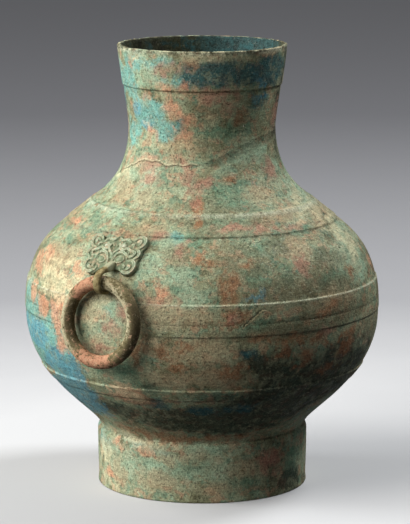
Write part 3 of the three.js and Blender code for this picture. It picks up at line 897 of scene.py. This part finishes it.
print("ground of sage and tan")

# %% [markdown]
# Over the ground lie the patches. Their painted numbers say how many millimetres a point lies
# inside a patch, and noise of a few millimetres is added before the threshold, so every edge is
# lacy. A row gives the colour on a screen, the strength, and the half width of the soft edge in
# millimetres. A thin veil of sage goes over them all, as a film of later corrosion does.

# %% Patches of the patina
edge_noise = patina.sum((mottle, 19.0, -9.5), (ragged, 10.0, -5.0))
breakup = patina.over(patina.noise(2.6, 6, 0.75), 0.24, 0.42)
patch_tones = {
    "pale_green": ((158, 184, 154), 0.65, 4.0), "green": ((98, 134, 108), 0.75, 3.4),
    "olive": ((112, 106, 80), 0.70, 4.5), "tan": ((180, 158, 124), 0.62, 4.0),
    # The dark tone paints shade as well as dark patina.
    "dark": ((42, 48, 38), 0.82, 4.0), "teal": ((48, 92, 96), 0.85, 3.4),
    "turquoise": ((114, 172, 162), 0.78, 2.8), "azure": ((92, 150, 166), 0.78, 3.2),
    "rust": ((150, 102, 70), 0.76, 3.0), "rose": ((174, 126, 106), 0.75, 3.2),
    # The cream tone paints highlight as well as lime.
    "salmon": ((202, 146, 114), 0.80, 2.6), "cream": ((214, 200, 160), 0.62, 3.2),
}
for name, (tone, strength, softness) in patch_tones.items():
    reach = patina.sum(patina.layer(name), edge_noise)
    cover = patina.times(patina.over(reach, -softness, softness, strength), breakup)
    patina.tint(cover, patina.ramp(greens, (0.38, colour(*tone, 0.82)), (0.62, colour(*tone, 1.14))))
patina.tint(patina.over(patina.noise(7.5, 7, 0.68, 0.3), 0.50, 0.62, 0.40), colour(158, 160, 128))
print(len(patch_tones), "colours on the ground")

# %% [markdown]
# The inside is darker and plainer, as painted shade in the hollow, with blue green on the wall that faces the
# camera, where the main light falls: partly teal patina, partly painted light. A painted number says which
# points are inside.

# %% Inside of the vessel
inside = patina.layer("inside")
# The dark inner colours are painted shade in the hollow.
inner_shade = patina.ramp(
    patina.sum((mottle, 0.6, 0.0), (drift, 0.6, -0.1)),
    (0.36, colour(42, 42, 32)), (0.5, colour(68, 70, 52)),
    (0.58, colour(52, 78, 76)), (0.72, colour(92, 100, 78)))
# Blue green on the far inner wall: partly teal patina, partly painted light where the main light falls.
teal_wall = patina.over(patina.sum(patina.layer("far_wall"), (mottle, 2.0, -1.0)), 0.2, 0.9, 0.75)
teal_shade = patina.ramp(ragged, (0.36, colour(26, 50, 52)), (0.62, colour(54, 92, 94)))
patina.tint(inside, patina.mix(teal_wall, inner_shade, teal_shade))
print("inside finished")

# %% [markdown]
# Rubbed edges with a painted highlight, painted shade with some dirt under the bands, the lip and the cracks
# come next. A crack has a pale side on its ridge, partly a painted highlight, and a dark side in its groove,
# partly a painted shade.
# A row gives the painted line, how far the mark runs beside it, its half width, its colour and
# its strength.

# %% Edges and cracks
dirt_and_shade_under_edges, rubbed_and_lit_edges, lip = (patina.layer(name) for name in ("dirt_and_shade_under_edges", "rubbed_and_lit_edges", "lip"))
# Painted shade with some dirt under the band edges, then painted highlight with some rubbing on the upper
# edges.
patina.tint(patina.times(dirt_and_shade_under_edges, patina.over(ragged, 0.38, 0.60, 0.65)), colour(56, 52, 38))
patina.tint(patina.times(rubbed_and_lit_edges, patina.over(ragged, 0.36, 0.60, 0.65)), colour(206, 210, 184))
lip_breaks = patina.sum((mottle, 0.55, 0.0), (ragged, 0.45, 0.0))
patina.tint(patina.times(lip, patina.over(lip_breaks, 0.54, 0.45, 0.88)), colour(66, 60, 44))
patina.tint(patina.times(lip, patina.over(ragged, 0.50, 0.64, 0.60)), colour(208, 198, 162))
# On each line the pale side lies on or beside the ridge and is partly a painted highlight; the dark side lies
# over the groove and is partly painted shade.
line_marks = [
    ("crack", 0.8, 1.1, (204, 194, 158), 0.6), ("crack", -0.4, 0.5, (84, 80, 60), 0.5),
    ("fold", 1.4, 1.8, (170, 168, 134), 0.25), ("fold", -3.2, 4.6, (74, 72, 54), 0.40),
    ("scratch", 0.1, 0.7, (214, 200, 156), 0.8), ("scratch", -1.0, 0.6, (60, 56, 42), 0.65),
]
wander = patina.sum((ragged, 6.0, -3.0), (speck, 2.5, -1.25))
cracks = []
for name, beside, half, tone, strength in line_marks:
    off = patina.maths("ADD", patina.sum(patina.layer(name), wander), -beside)
    mark = patina.over(patina.maths("ABSOLUTE", off), half, half * 0.3, strength)
    patina.tint(mark, colour(*tone))
    cracks.append((mark, 0.6 if beside >= 0 else -1.0, 0.0))
print(len(cracks), "marks along the lines")

# %% [markdown]
# Last comes the grain that covers everything: dark pits, pale specks and fine sideways streaks
# from cleaning. The same noises drive the bump, so a pit is both dark and deep.

# %% Grain and relief of the patina
pits = patina.over(speck, 0.42, 0.33)
pale_specks = patina.times(patina.over(speck, 0.58, 0.68), patina.sum((inside, -0.75, 1.0)))
patina.tint(patina.times(pits, 0.55), colour(62, 58, 42))
patina.tint(patina.times(pale_specks, 0.40), colour(214, 204, 170))
patina.brighten(patina.sum((grain, 2.0, 0.0), (streaks, 0.8, -0.4), (speck, 1.2, -0.6)))
height_map = patina.sum((grain, 0.35, 0.0), (speck, 0.6, 0.0), (ragged, 0.9, 0.0), (streaks, 0.25, 0.0),
                        (pits, -0.4, 0.0), *cracks)
vessel.data.materials.append(patina.close(height_map, 0.75, patina.over(ragged, 0.3, 0.7, 0.9)))
print("vessel finished with", len(patina.tree.nodes), "nodes")

# %% [markdown]
# ## Drawing of the mask
#
# Each handle starts in a beast's mask. It is drawn on a small grid: u runs sideways from the
# nose and v runs up the slope. The drawing hangs from the shoulder band, a little turned, as
# the real one is. A smooth curve runs through each list of points.

# %% Place and curves of the mask
mask_unit = 33.4 / 34  # mm for one unit of the drawing
crest_row = 26
crest_below_band = 2.2
mask_angle = math.radians(3.0)
plate_top = 2.0
relief_height = 1.35
band_foot = float(surface(bands["shoulder"][0] - band_edge / 2)[2])
nose_length = band_foot - crest_below_band - crest_row * mask_unit


def smooth_line(points, gap=0.35, closed=False):
    """A smooth curve through points, sampled about every 'gap' units."""
    points = np.asarray(points, float)
    before = points[-1] if closed else 2 * points[0] - points[1]
    after = [points[0], points[1]] if closed else [2 * points[-1] - points[-2]]
    padded = np.vstack([before, points, *after])
    samples = []
    for a, b, c, d in zip(padded[:-3], padded[1:-2], padded[2:-1], padded[3:]):
        count = max(3, int(np.linalg.norm(c - b) / gap))
        t = np.linspace(0, 1, count, endpoint=False)[:, None]
        samples.append(0.5 * (2 * b + (c - a) * t + (2 * a - 5 * b + 4 * c - d) * t**2
                              + (3 * b - 3 * c + d - a) * t**3))
    samples = np.vstack(samples)
    return samples if closed else np.vstack([samples, points[-1]])


def spiral(u, v, radii, angles, count):
    """Points of a scroll about a place, from the first radius and angle to the last."""
    share = np.linspace(0, 1, count)
    radius = radii[0] + (radii[1] - radii[0]) * share
    angle = np.radians(angles[0] + (angles[1] - angles[0]) * share)
    return np.stack([u + radius * np.cos(angle), v + radius * np.sin(angle)], axis=1).tolist()


print("the nose is", round(nose_length, 1), "mm up the outline")

# %% [markdown]
# Only the right half is drawn, and the left half mirrors it. The plate's edge is one closed
# curve, and the face is made of strands: brows, scrolls, horns and cheeks, each with its width.
# The left cheek is worn back a little.

# %% Lines of the mask
plate_edge = [
    [4.5, -3.2], [9.5, -4.0], [13.0, -6.6], [17.4, -7.6], [21.4, -5.4], [22.9, -0.8], [22.2, 3.4],
    [23.2, 8.0], [22.8, 11.8], [24.2, 17.2], [23.2, 23.0], [18.8, 26.0], [14.4, 24.6], [12.4, 21.4],
    [8.4, 23.2], [4.2, 23.0]]
great_scroll = spiral(7.3, 16.0, (1.3, 4.2), (60, 330), 7) + [[13.6, 12.2]]
great_scroll += spiral(15.2, 9.4, (2.9, 2.2), (20, -200), 5)
strands = [
    ([[1.7, -0.6], [2.3, 4.6], [4.6, 9.2], [8.6, 10.4], [12.2, 8.0], [13.4, 4.6]], 2.0),
    (great_scroll, 2.0),
    ([[13.6, 21.4], [16.6, 24.4], [20.8, 23.6], [22.4, 19.2], [20.6, 15.0], [16.6, 13.8]], 2.2),
    ([[16.2, 20.6], [18.6, 20.4], [18.6, 17.6]], 2.6),
    ([[18.4, 13.6], [21.2, 10.6], [21.4, 7.0], [18.4, 5.0]], 2.0),
    ([[14.4, 3.6], [18.6, 3.6], [21.0, 0.4], [20.2, -3.8], [16.4, -6.0], [11.8, -4.4], [9.6, -2.0]], 2.2),
    ([[16.0, 0.2], [17.4, -1.6], [15.0, -3.0]], 2.4),
    ([[0.9, 24.0], [3.6, 21.2], [8.0, 21.8], [11.4, 19.4]], 1.8),
    ([[0.5, 5.5], [0.9, 9.0], [3.2, 11.6], [4.6, 14.4], [3.0, 17.6], [1.2, 15.6]], 1.6),
    ([[8.6, 17.2], [7.0, 18.0], [5.9, 16.4], [7.2, 14.9], [8.8, 15.8]], 1.3),
    ([[12.6, 17.8], [14.4, 17.2], [15.2, 15.0]], 1.4),
    ([[12.0, 0.4], [13.6, -1.2], [12.4, -2.2]], 1.4),
]
mirror = np.array([-1, 1])
worn_cheek = 2.2
outline = np.vstack([[0, -3.4], plate_edge, [0, crest_row], np.array(plate_edge)[::-1] * mirror])
left_cheek = (outline[:, 0] < -8) & (outline[:, 1] < 4)
outline[left_cheek, 0] += worn_cheek
outline = smooth_line(outline, 0.3, closed=True)
print(len(strands) * 2, "strands and an outline of", len(outline), "points")

# %% [markdown]
# ### Relief of the mask
#
# The relief is a height for every point of a fine grid. The plate's edge drops steeply, so grid
# points close to it are moved onto the line, and the edge is clean.

# %% Grid of the mask
grid_mm = 0.29
grid_gap = grid_mm / mask_unit
grid_u, grid_v = np.meshgrid(np.arange(-25.2, 25.2, grid_gap), np.arange(-8.8, 27.4, grid_gap))
grid = np.stack([grid_u.ravel(), grid_v.ravel()], axis=1)


def inside_of(line, points):
    """Which points lie inside a closed line."""
    within = np.zeros(len(points), bool)
    for a, b in zip(line, np.roll(line, -1, axis=0)):
        crosses = (a[1] > points[:, 1]) != (b[1] > points[:, 1])
        at = (b[0] - a[0]) * (points[:, 1] - a[1]) / (b[1] - a[1] + 1e-12) + a[0]
        within ^= crosses & (points[:, 0] < at)
    return within


gap = distance_to(np.vstack([outline, outline[:1]]), grid)[0]
edge = np.where(inside_of(outline, grid), gap, -gap) * mask_unit
slope_v, slope_u = np.gradient(edge.reshape(grid_u.shape), grid_gap)
uphill = np.stack([slope_u.ravel(), slope_v.ravel()], axis=1)
near = np.abs(edge) < 0.16
grid[near] -= (edge[:, None] * uphill / mask_unit**2)[near]
edge = np.where(near, 0, edge)
print(int(near.sum()), "of", len(grid), "grid points moved onto the edge")

# %% [markdown]
# A strand's height comes from the distance to its line: two thin ridges with a shallow groove
# between them, which is how the cast lines look. A strand narrows and sinks at its two ends.


# %% Strands of the mask
def strand_profile(x):
    """Height across a strand, x being 1 at its edge: two ridges and a shallow groove."""
    return np.maximum(hump(x - 0.62, 0.34), 0.62 * np.exp(-((x / 0.9) ** 4)))


relief_mm = np.zeros(len(grid))
for line, width in strands:
    drawn = smooth_line(line)
    for hand in (1, -1):
        gap, _, share = distance_to(drawn * [hand, 1], grid)
        full = np.minimum(1, 0.55 + 2.2 * np.minimum(share, 1 - share))
        relief_mm = np.maximum(relief_mm, relief_height * full * strand_profile(gap / (width * 0.56 * full)))
print("highest relief", round(float(relief_mm.max()), 2), "mm")

# %% [markdown]
# The eyes are oval bosses inside a raised lid. With a small round knob over each, they are
# added to the same height map, a little higher than the strands.

# %% Eyes of the mask
eye_mark = np.zeros(len(grid))
for hand in (1, -1):
    lean = math.radians(18 * hand)
    du, dv = grid[:, 0] - 7.8 * hand, grid[:, 1] - 4.4
    x = (du * math.cos(lean) + dv * math.sin(lean)) / 3.7
    y = (dv * math.cos(lean) - du * math.sin(lean)) / 2.7
    out = np.hypot(x, y)
    lid = 1.15 * hump(out - 0.98, 0.16)
    ball = 0.95 * np.sqrt(np.clip(1 - (out / 0.8) ** 2, 0, 1)) + 0.25
    from_knob = np.hypot(grid[:, 0] - 7.6 * hand, grid[:, 1] - 15.6) / 1.9
    knob = 1.5 * np.sqrt(np.clip(1 - from_knob**2, 0, 1))
    relief_mm = np.max([relief_mm, np.where(out < 0.8, ball, 0) * 1.1, lid, knob], axis=0)
    eye_mark = np.maximum(eye_mark, soft_step((0.85 - out) / 0.2))
relief_mm *= soft_step(edge / 0.5)
print("eyes cover", round(float(eye_mark.sum()) * grid_mm**2), "square mm")

# %% [markdown]
# ### Laying the mask on the shoulder
#
# The drawing is flat, the shoulder is curved both ways. Each grid point goes up the outline by
# its v and round the axis by its u, and stands off along the surface's normal by its height.
# The back of the plate lies just inside the vessel's skin, so no gap shows under its edge.


# %% Laying the mask on the shoulder
def on_shoulder(u, v, lift):
    """Points in mm on the right shoulder, lifted off the skin."""
    side = (u * math.cos(mask_angle) - v * math.sin(mask_angle)) * mask_unit
    rise = (u * math.sin(mask_angle) + v * math.cos(mask_angle)) * mask_unit
    radius, height, _, out, up = surface(nose_length + rise, "length")
    r = radius + out * lift
    angle = side / radius
    return np.stack([r * np.cos(angle), r * np.sin(angle), height + up * lift], axis=1)


sunk, back_under = -0.75, 0.25
rise = soft_step((edge + 0.24) / 0.40)
flat_grid = np.column_stack([grid, np.zeros(len(grid))])
worn = 0.10 * lumps(flat_grid, 2.2, 11) + 0.06 * lumps(flat_grid, 0.9, 12)
lift = sunk + (plate_top - 0.12 - sunk) * rise + relief_mm + worn * rise
front = on_shoulder(grid[:, 0], grid[:, 1], lift)
back = on_shoulder(grid[:, 0], grid[:, 1], np.full(len(grid), sunk - back_under))
print("the plate stands", round(float(lift.max()), 2), "mm off the shoulder")

# %% [markdown]
# The grid squares inside the edge become the front. The same squares, turned over, become the
# back, and a strip of faces joins the two along the rim.

# %% Plates of the masks
corner = np.arange(len(grid)).reshape(grid_u.shape)
quads = np.stack([corner[:-1, :-1], corner[:-1, 1:], corner[1:, 1:], corner[1:, :-1]], axis=-1).reshape(-1, 4)
kept = quads[(edge[quads] > -0.34).all(axis=1)]
used = np.unique(kept)
kept = np.searchsorted(used, kept)
behind = len(used)
sides = list(zip(kept.ravel().tolist(), np.roll(kept, -1, axis=1).ravel().tolist()))
known = set(sides)
rim = [(a, b) for a, b in sides if (b, a) not in known]
mask_faces = kept.tolist() + (kept[:, ::-1] + behind).tolist()
mask_faces += [[b, a, a + behind, b + behind] for a, b in rim]
mask_points = np.vstack([front[used], back[used]])


def handed(points, side):
    """Right-hand points as they are, or turned half round for the left handle."""
    return points if side == "right" else points * [-1, -1, 1]


plates = {}
for side in ("left", "right"):
    plate = new_piece(f"mask_plate_{side}", handed(mask_points, side), mask_faces)
    paint(plate, "relief", np.concatenate([relief_mm[used], np.zeros(behind)]))
    paint(plate, "eye", np.concatenate([eye_mark[used] * 0.7, np.zeros(behind)]))
    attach(plate, "vase")
    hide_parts(f"mask_{side}")
    plates[side] = plate
print("each mask plate has", triangles(plates["left"]), "triangles")

# %% [markdown]
# ## Loop under the nose
#
# The beast's nose runs out into a strap that turns under the ring's bar and back to the body.
# Its side view is a hook, made of arcs: one round the bar, and a small one at the root, where
# the strap leaves the nose. All of it follows from the bar's size and from the place where the
# ring turns, so the loop fits the ring.

# %% Place of the loop
strap_width, strap_thickness = 5.6, 2.8
bar_radius, ring_radius = 5.2, 28.5
loop_shift = 3.2
ring_gap, loop_play = 0.5, 1.1
seat_below_nose, seat_gap = 11.0, 2.7
seat = surface(nose_length - seat_below_nose, "length")
pivot = np.array([float(seat[0]) + bar_radius + seat_gap, float(seat[1])])
bar_drop = ring_radius - math.sqrt(ring_radius**2 - (strap_width / 2) ** 2)
loop_centre = pivot + [0, loop_play - bar_drop - ring_gap]
loop_bore = bar_radius + loop_play
outer = loop_bore + strap_thickness
root_radius = 0.8 * strap_thickness
nose_out, nose_height, _, out, up = (float(value) for value in surface(nose_length, "length"))
root = np.array([nose_out, nose_height]) + np.array([out, up]) * (plate_top + 0.4 * root_radius)
to_root = root - loop_centre
tangent = math.atan2(to_root[1], to_root[0]) - math.acos((outer - root_radius) / np.hypot(*to_root))
print("loop opens", round(2 * loop_bore, 1), "mm for a bar of", 2 * bar_radius, "mm")

# %% [markdown]
# For every step along the hook there is a point on the outside and a point on the inside, and
# a rounded section is drawn between them, as wide as the strap.


# %% Loop under the nose
def around(centre, radius, start, end, count):
    """Points of an arc between two angles."""
    angles = np.linspace(start, end, count)
    return centre + radius * np.column_stack([np.cos(angles), np.sin(angles)])


def resampled(line, count):
    """The line again, with evenly spaced points."""
    length = lengths_along(line)
    at = np.linspace(0, length[-1], count)
    return np.column_stack([np.interp(at, length, values) for values in line.T])


def squared(wave):
    """A sine or cosine with flatter tops, so that the section has straight sides."""
    return np.sign(wave) * np.abs(wave) ** 0.55


quarter = math.pi / 2
hidden, root_reach = 9.0, 4.0
arc_steps, arm_steps = 26, 12
lower_outer = loop_centre - [[hidden, outer], [0, outer]]
lower_inner = lower_outer + [0, strap_thickness]
arc_outer = around(loop_centre, outer, -quarter, tangent, arc_steps)
arc_inner = around(loop_centre, loop_bore, -quarter, quarter, arc_steps)
root_arc = around(root, root_radius, tangent, quarter, 8)
upper_outer = np.vstack([arc_outer[-1:], root_arc, [root + [-root_reach, root_radius]]])
upper_inner = np.array([arc_inner[-1], [root[0] - root_reach, loop_centre[1] + loop_bore]])
hook_outer, hook_inner = (
    np.vstack([resampled(lower, arm_steps)[:-1], arc, resampled(upper, arm_steps)[1:]])
    for lower, arc, upper in ((lower_outer, arc_outer, upper_outer), (lower_inner, arc_inner, upper_inner)))
section = np.linspace(0, 2 * math.pi, 28, endpoint=False)
half = (hook_outer - hook_inner) / 2
flat = (hook_outer + hook_inner)[:, None, :] / 2 + half[:, None, :] * squared(np.sin(section))[None, :, None]
steps, parts = flat.shape[:2]
sideways = np.broadcast_to(squared(np.cos(section)) * strap_width / 2, (steps, parts)) + loop_shift
loop_points = np.stack([flat[:, :, 0], sideways, flat[:, :, 1]], axis=-1).reshape(-1, 3)
loop_points[:, 1] += 0.08 * lumps(loop_points, 3.0, 21)
loop_ends = [list(range(first, first + parts)) for first in (0, (steps - 1) * parts)]
loop_faces = ring_faces(0, steps, parts) + loop_ends
root_end, root_fade = 134.0, 7.0
loops = {}
for side in ("left", "right"):
    loop = new_piece(f"nose_loop_{side}", handed(loop_points, side), loop_faces)
    paint(loop, "root", soft_step((root_end - loop_points[:, 0]) / root_fade))
    rounded = loop.modifiers.new("smooth_section", "SUBSURF")
    rounded.levels = rounded.render_levels = 1
    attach(loop, "vase")
    loops[side] = loop
print("each loop has", steps, "sections of", parts, "points")

# %% [markdown]
# ## Rings
#
# Each ring is a round bar bent to a circle. It hangs in its loop and leans on the belly, with
# its foot pushed out a little. The bar is not quite even: it is a bit flatter in places and
# has a rough, crusted skin, so the noise takes a little away from it everywhere.

# %% Shape of the rings
ring_lean = math.radians(6.5415)
ring_columns, bar_columns = 168, 40
here = np.arange(ring_columns * bar_columns).reshape(ring_columns, bar_columns)
round_turn, bar_turn = (2 * math.pi * index / count for index, count in (
    (here.ravel() // bar_columns, ring_columns), (here.ravel() % bar_columns, bar_columns)))
radial = np.stack([np.zeros_like(round_turn), np.sin(round_turn), np.cos(round_turn)], axis=1)
outward = radial * np.cos(bar_turn)[:, None] + np.array([1, 0, 0]) * np.sin(bar_turn)[:, None]
centre_line = radial * ring_radius - np.array([0, 0, ring_radius])
skin = centre_line + outward * bar_radius
crusted = sum(depth * (lumps(skin, size, seed) - 1)
              for depth, size, seed in ((0.08, 9.0, 31), (0.11, 2.6, 32), (0.08, 1.2, 33)))
skin = centre_line + outward * (bar_radius + crusted)[:, None]
leaning = Matrix.Rotation(-ring_lean, 3, "Y")
skin = skin @ np.array(leaning).T + [pivot[0], loop_shift, pivot[1]]
onward = np.roll(here, -1, 0)
ring_quads = np.stack([here, onward, np.roll(onward, -1, 1), np.roll(here, -1, 1)], axis=-1)
print("the bar is thinned by up to", round(float(-crusted.min()), 2), "mm")

# %% [markdown]
# The colours change round the ring. A zone is a stretch of it, given by its middle in degrees from the top
# and its half length. Pale lies on the side of the bar towards the main light, a painted highlight over pale
# patina, and brown on the other side, a painted shade over brown crust; the right ring has the same, turned
# round.


# %% Rings
def zone(middle, half):
    """1 in the middle of a stretch of the ring, in degrees from the top, and 0 at its ends."""
    off = np.abs((np.degrees(round_turn) - middle + 180) % 360 - 180)
    return soft_step(1.5 - off / half)


ring_zones = {
    "salmon": ([(330, 22), (184, 32)], 1.0),
    # Pale on the bar's side towards the main light is partly painted highlight; brown on the side away from
    # it is partly painted shade.
    "pale": ([(56, 56), (262, 44)], soft_step(0.6 - outward[:, 1])),
    "brown": ([(268, 44), (100, 44)], soft_step(0.45 + 0.9 * outward[:, 1])),
}
rings = {}
for side in ("left", "right"):
    ring = new_piece(f"loose_ring_{side}", handed(skin, side), ring_quads.reshape(-1, 4).tolist())
    for name, (zones, bar_side) in ring_zones.items():
        paint(ring, name, sum(zone(*where) for where in zones) * bar_side)
    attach(ring, f"ring_{side}")
    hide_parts(f"ring_{side}")
    rings[side] = ring
print("each ring has", triangles(rings["left"]), "triangles")

# %% [markdown]
# ## Finish of the masks
# The masks are paler than the body. The colour follows the relief height, dark olive at the bottom and pale
# sage on the ridges, with a little green left in the eyes: the pale ridges are partly rubbed by hands and
# cleaning and partly painted highlight, and the dark grooves hold some dirt and partly painted shade.

# %% Finish of the masks
masks = Finish("patina_painted_light_and_shade_of_the_masks", 0.78)
mask_mottle = masks.noise(6, 5, 0.65)
mask_fine = masks.noise(1.6, 4, 0.6)
mask_grain = masks.noise(0.7, 2, 0.5)
mask_pink = masks.noise(3.2, 6, 0.7, 0.3)
mask_relief = masks.sum(masks.layer("relief"), (mask_fine, 0.9, -0.45))
masks.shade = masks.ramp(
    mask_mottle, (0.32, colour(142, 136, 106)), (0.45, colour(160, 166, 136)),
    (0.56, colour(146, 164, 136)), (0.68, colour(188, 168, 138)))
# Dark olive in the low parts of the relief: some dirt, partly painted shade in the grooves.
masks.tint(masks.over(mask_relief, 0.80, 0.15, 0.75), colour(92, 100, 76))
masks.tint(masks.over(mask_fine, 0.46, 0.36, 0.5), colour(96, 96, 72))
# Pale sage on the high ridges: some wear, partly painted highlight.
masks.tint(masks.over(mask_relief, 0.85, 1.5, 0.55), colour(218, 220, 202))
masks.tint(masks.over(mask_pink, 0.52, 0.64, 0.55), colour(196, 164, 136))
masks.tint(masks.over(mask_pink, 0.46, 0.36, 0.45), colour(112, 138, 108))
masks.tint(masks.layer("eye"), colour(112, 128, 98))
masks.brighten(masks.sum((mask_grain, 0.6, 0.7), (mask_fine, 0.4, -0.2)))
mask_material = masks.close(masks.sum((mask_grain, 0.4, 0.0), (mask_fine, 0.8, 0.0)), 0.3)
for plate in plates.values():
    plate.data.materials.append(mask_material)
print("masks finished")

# %% [markdown]
# The loops are browner, since the rings rub there, and turn sage towards the body.

# %% Finish of the loops
straps = Finish("patina_of_the_loops", 0.7)
loop_mottle = straps.noise(5, 5, 0.65)
loop_fine = straps.noise(1.2, 3, 0.6)
straps.shade = straps.ramp(
    loop_mottle, (0.34, colour(84, 74, 50)), (0.5, colour(126, 112, 76)),
    (0.62, colour(150, 138, 100)), (0.74, colour(164, 160, 126)))
near_root = straps.sum(straps.layer("root"), (loop_fine, 1.4, -0.7))
straps.tint(straps.over(near_root, 0.2, 0.8, 0.85), colour(170, 172, 142))
straps.brighten(straps.sum((loop_fine, 0.8, 0.6)))
loop_material = straps.close(loop_fine, 0.25)
for loop in loops.values():
    loop.data.materials.append(loop_material)
print("loops finished")

# %% [markdown]
# ## Finish of the rings
#
# The rings are the warmest part: salmon crust where the earth lay on them, olive and dark brown, the brown
# partly painted shade on the side of the bar away from the main light, and a pale olive, partly rubbed and
# partly painted highlight on the side towards it. Numbers painted round the ring put the salmon on one side
# of the top and along the bottom.

# %% Finish of the rings
ring_finish = Finish("patina_painted_light_and_shade_of_the_rings", 0.8)
ring_mottle = ring_finish.noise(7, 7, 0.7, 0.3)
ring_fine = ring_finish.noise(2.4, 6, 0.75)
ring_grain = ring_finish.noise(0.9, 3, 0.6)
ring_edge = ring_finish.sum((ring_mottle, 3.6, -1.8), (ring_fine, 3.8, -1.9))
ring_finish.shade = ring_finish.ramp(
    ring_mottle, (0.34, colour(76, 68, 46)), (0.50, colour(112, 102, 72)),
    (0.62, colour(142, 132, 98)), (0.74, colour(124, 130, 98)))
ring_tones = {
    "pale": ((184, 176, 144), 0.85), "brown": ((72, 62, 44), 0.8), "salmon": ((198, 140, 112), 0.74)}
# Pale and brown lay the painted highlight and painted shade on the two sides of the bar.
for name, (tone, strength) in ring_tones.items():
    reach = ring_finish.sum(ring_finish.layer(name), ring_edge)
    ring_finish.tint(ring_finish.over(reach, 0.25, 0.95, strength), colour(*tone))
ring_finish.tint(ring_finish.over(ring_fine, 0.46, 0.36, 0.65), colour(48, 42, 30))
ring_finish.tint(ring_finish.over(ring_fine, 0.54, 0.66, 0.5), colour(196, 184, 148))
ring_finish.brighten(ring_finish.sum((ring_grain, 1.4, 0.3)))
ring_material = ring_finish.close(ring_finish.sum((ring_grain, 0.4, 0.0), ring_fine), 0.5)
for ring in rings.values():
    ring.data.materials.append(ring_material)
print("rings finished")

# %% [markdown]
# ## Floor and light
#
# The vase stands on a wide pale floor. Its colour is painted lighter near the vase and darker farther out, a
# painted pool of light. The floor also glows very faintly and evenly, so that it fades to an even grey far
# from the lights and looks alike from every side.

# %% Floor
floor_half = 12.0
floor_mesh = bpy.data.meshes.new("floor")
floor_corners = [(x * floor_half, y * floor_half, 0.0) for x, y in ((-1, -1), (1, -1), (1, 1), (-1, 1))]
floor_mesh.from_pydata(floor_corners, [], [(0, 1, 2, 3)])
floor = add_object("floor", floor_mesh)
floor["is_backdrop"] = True
floor.visible_diffuse = False
floor.visible_glossy = False
paper = Finish("pale_paper", 0.9)
paper.shader.inputs["Emission Color"].default_value = colour(236, 237, 242)
paper.shader.inputs["Emission Strength"].default_value = 0.085
from_vase = paper.add("ShaderNodeVectorMath", {0: paper.place}, operation="LENGTH").outputs["Value"]
# Painted pool of light: the floor colour is lighter near the vase and darker farther out.
paper.shade = paper.ramp(
    paper.sum((from_vase, 0.4, 0.0), (paper.noise(60, 2, 0.5), 0.02, -0.01)),
    (0.10, colour(190, 190, 191)), (0.30, colour(142, 142, 145)), (0.9, colour(98, 98, 102)))
floor.data.materials.append(paper.close(paper.noise(2, 2, 0.5), 0.02))
print("floor", 2 * floor_half, "m wide")

# %% [markdown]
# The main light is a large soft one, high on the left and a little in front, which leaves the
# right side in shade. A low one fills the left side, and one from behind on the right draws a
# thin bright line down that side. Distances and sizes are in metres, the power in watts.

# %% Lights
vase_middle = Vector((0, 0, 0.17))


def soft_light(name, turn_from_camera, elevation, distance, size, power, light_colour):
    """An area light aimed at the middle of the vase; the turn is to the right of the camera."""
    turn = camera_azimuth + math.radians(turn_from_camera)
    lift = math.radians(elevation)
    towards = Vector((math.sin(turn) * math.cos(lift), -math.cos(turn) * math.cos(lift), math.sin(lift)))
    light = add_object(name, bpy.data.lights.new(name, "AREA"))
    light.data.size = size
    light.data.energy = power
    light.data.color = light_colour
    light.location = vase_middle + towards * distance
    light.visible_camera = False
    point_at(light, -towards)


soft_light("key", -67, 36, 3.0, 2.8, 156, (1.0, 0.985, 0.95))
soft_light("side", -96, 15, 2.4, 0.7, 28, (0.96, 0.99, 1.0))
soft_light("edge", 118, 50, 2.6, 0.8, 58, (0.97, 0.99, 1.0))
world = bpy.data.worlds.new("studio")
world.use_nodes = True
room = world.node_tree.nodes["Background"]
room.inputs["Color"].default_value = (0.9, 0.95, 1.0, 1.0)
room.inputs["Strength"].default_value = 0.11
bpy.context.scene.world = world
bpy.context.scene.view_settings.view_transform = "Standard"
print("three lights and a dim room")

# %% [markdown]
# ## Sizes
#
# The dressed vase is kept inside the CAD model's box. Here the box round the pieces that render is measured.

# %% Sizes
low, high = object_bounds()
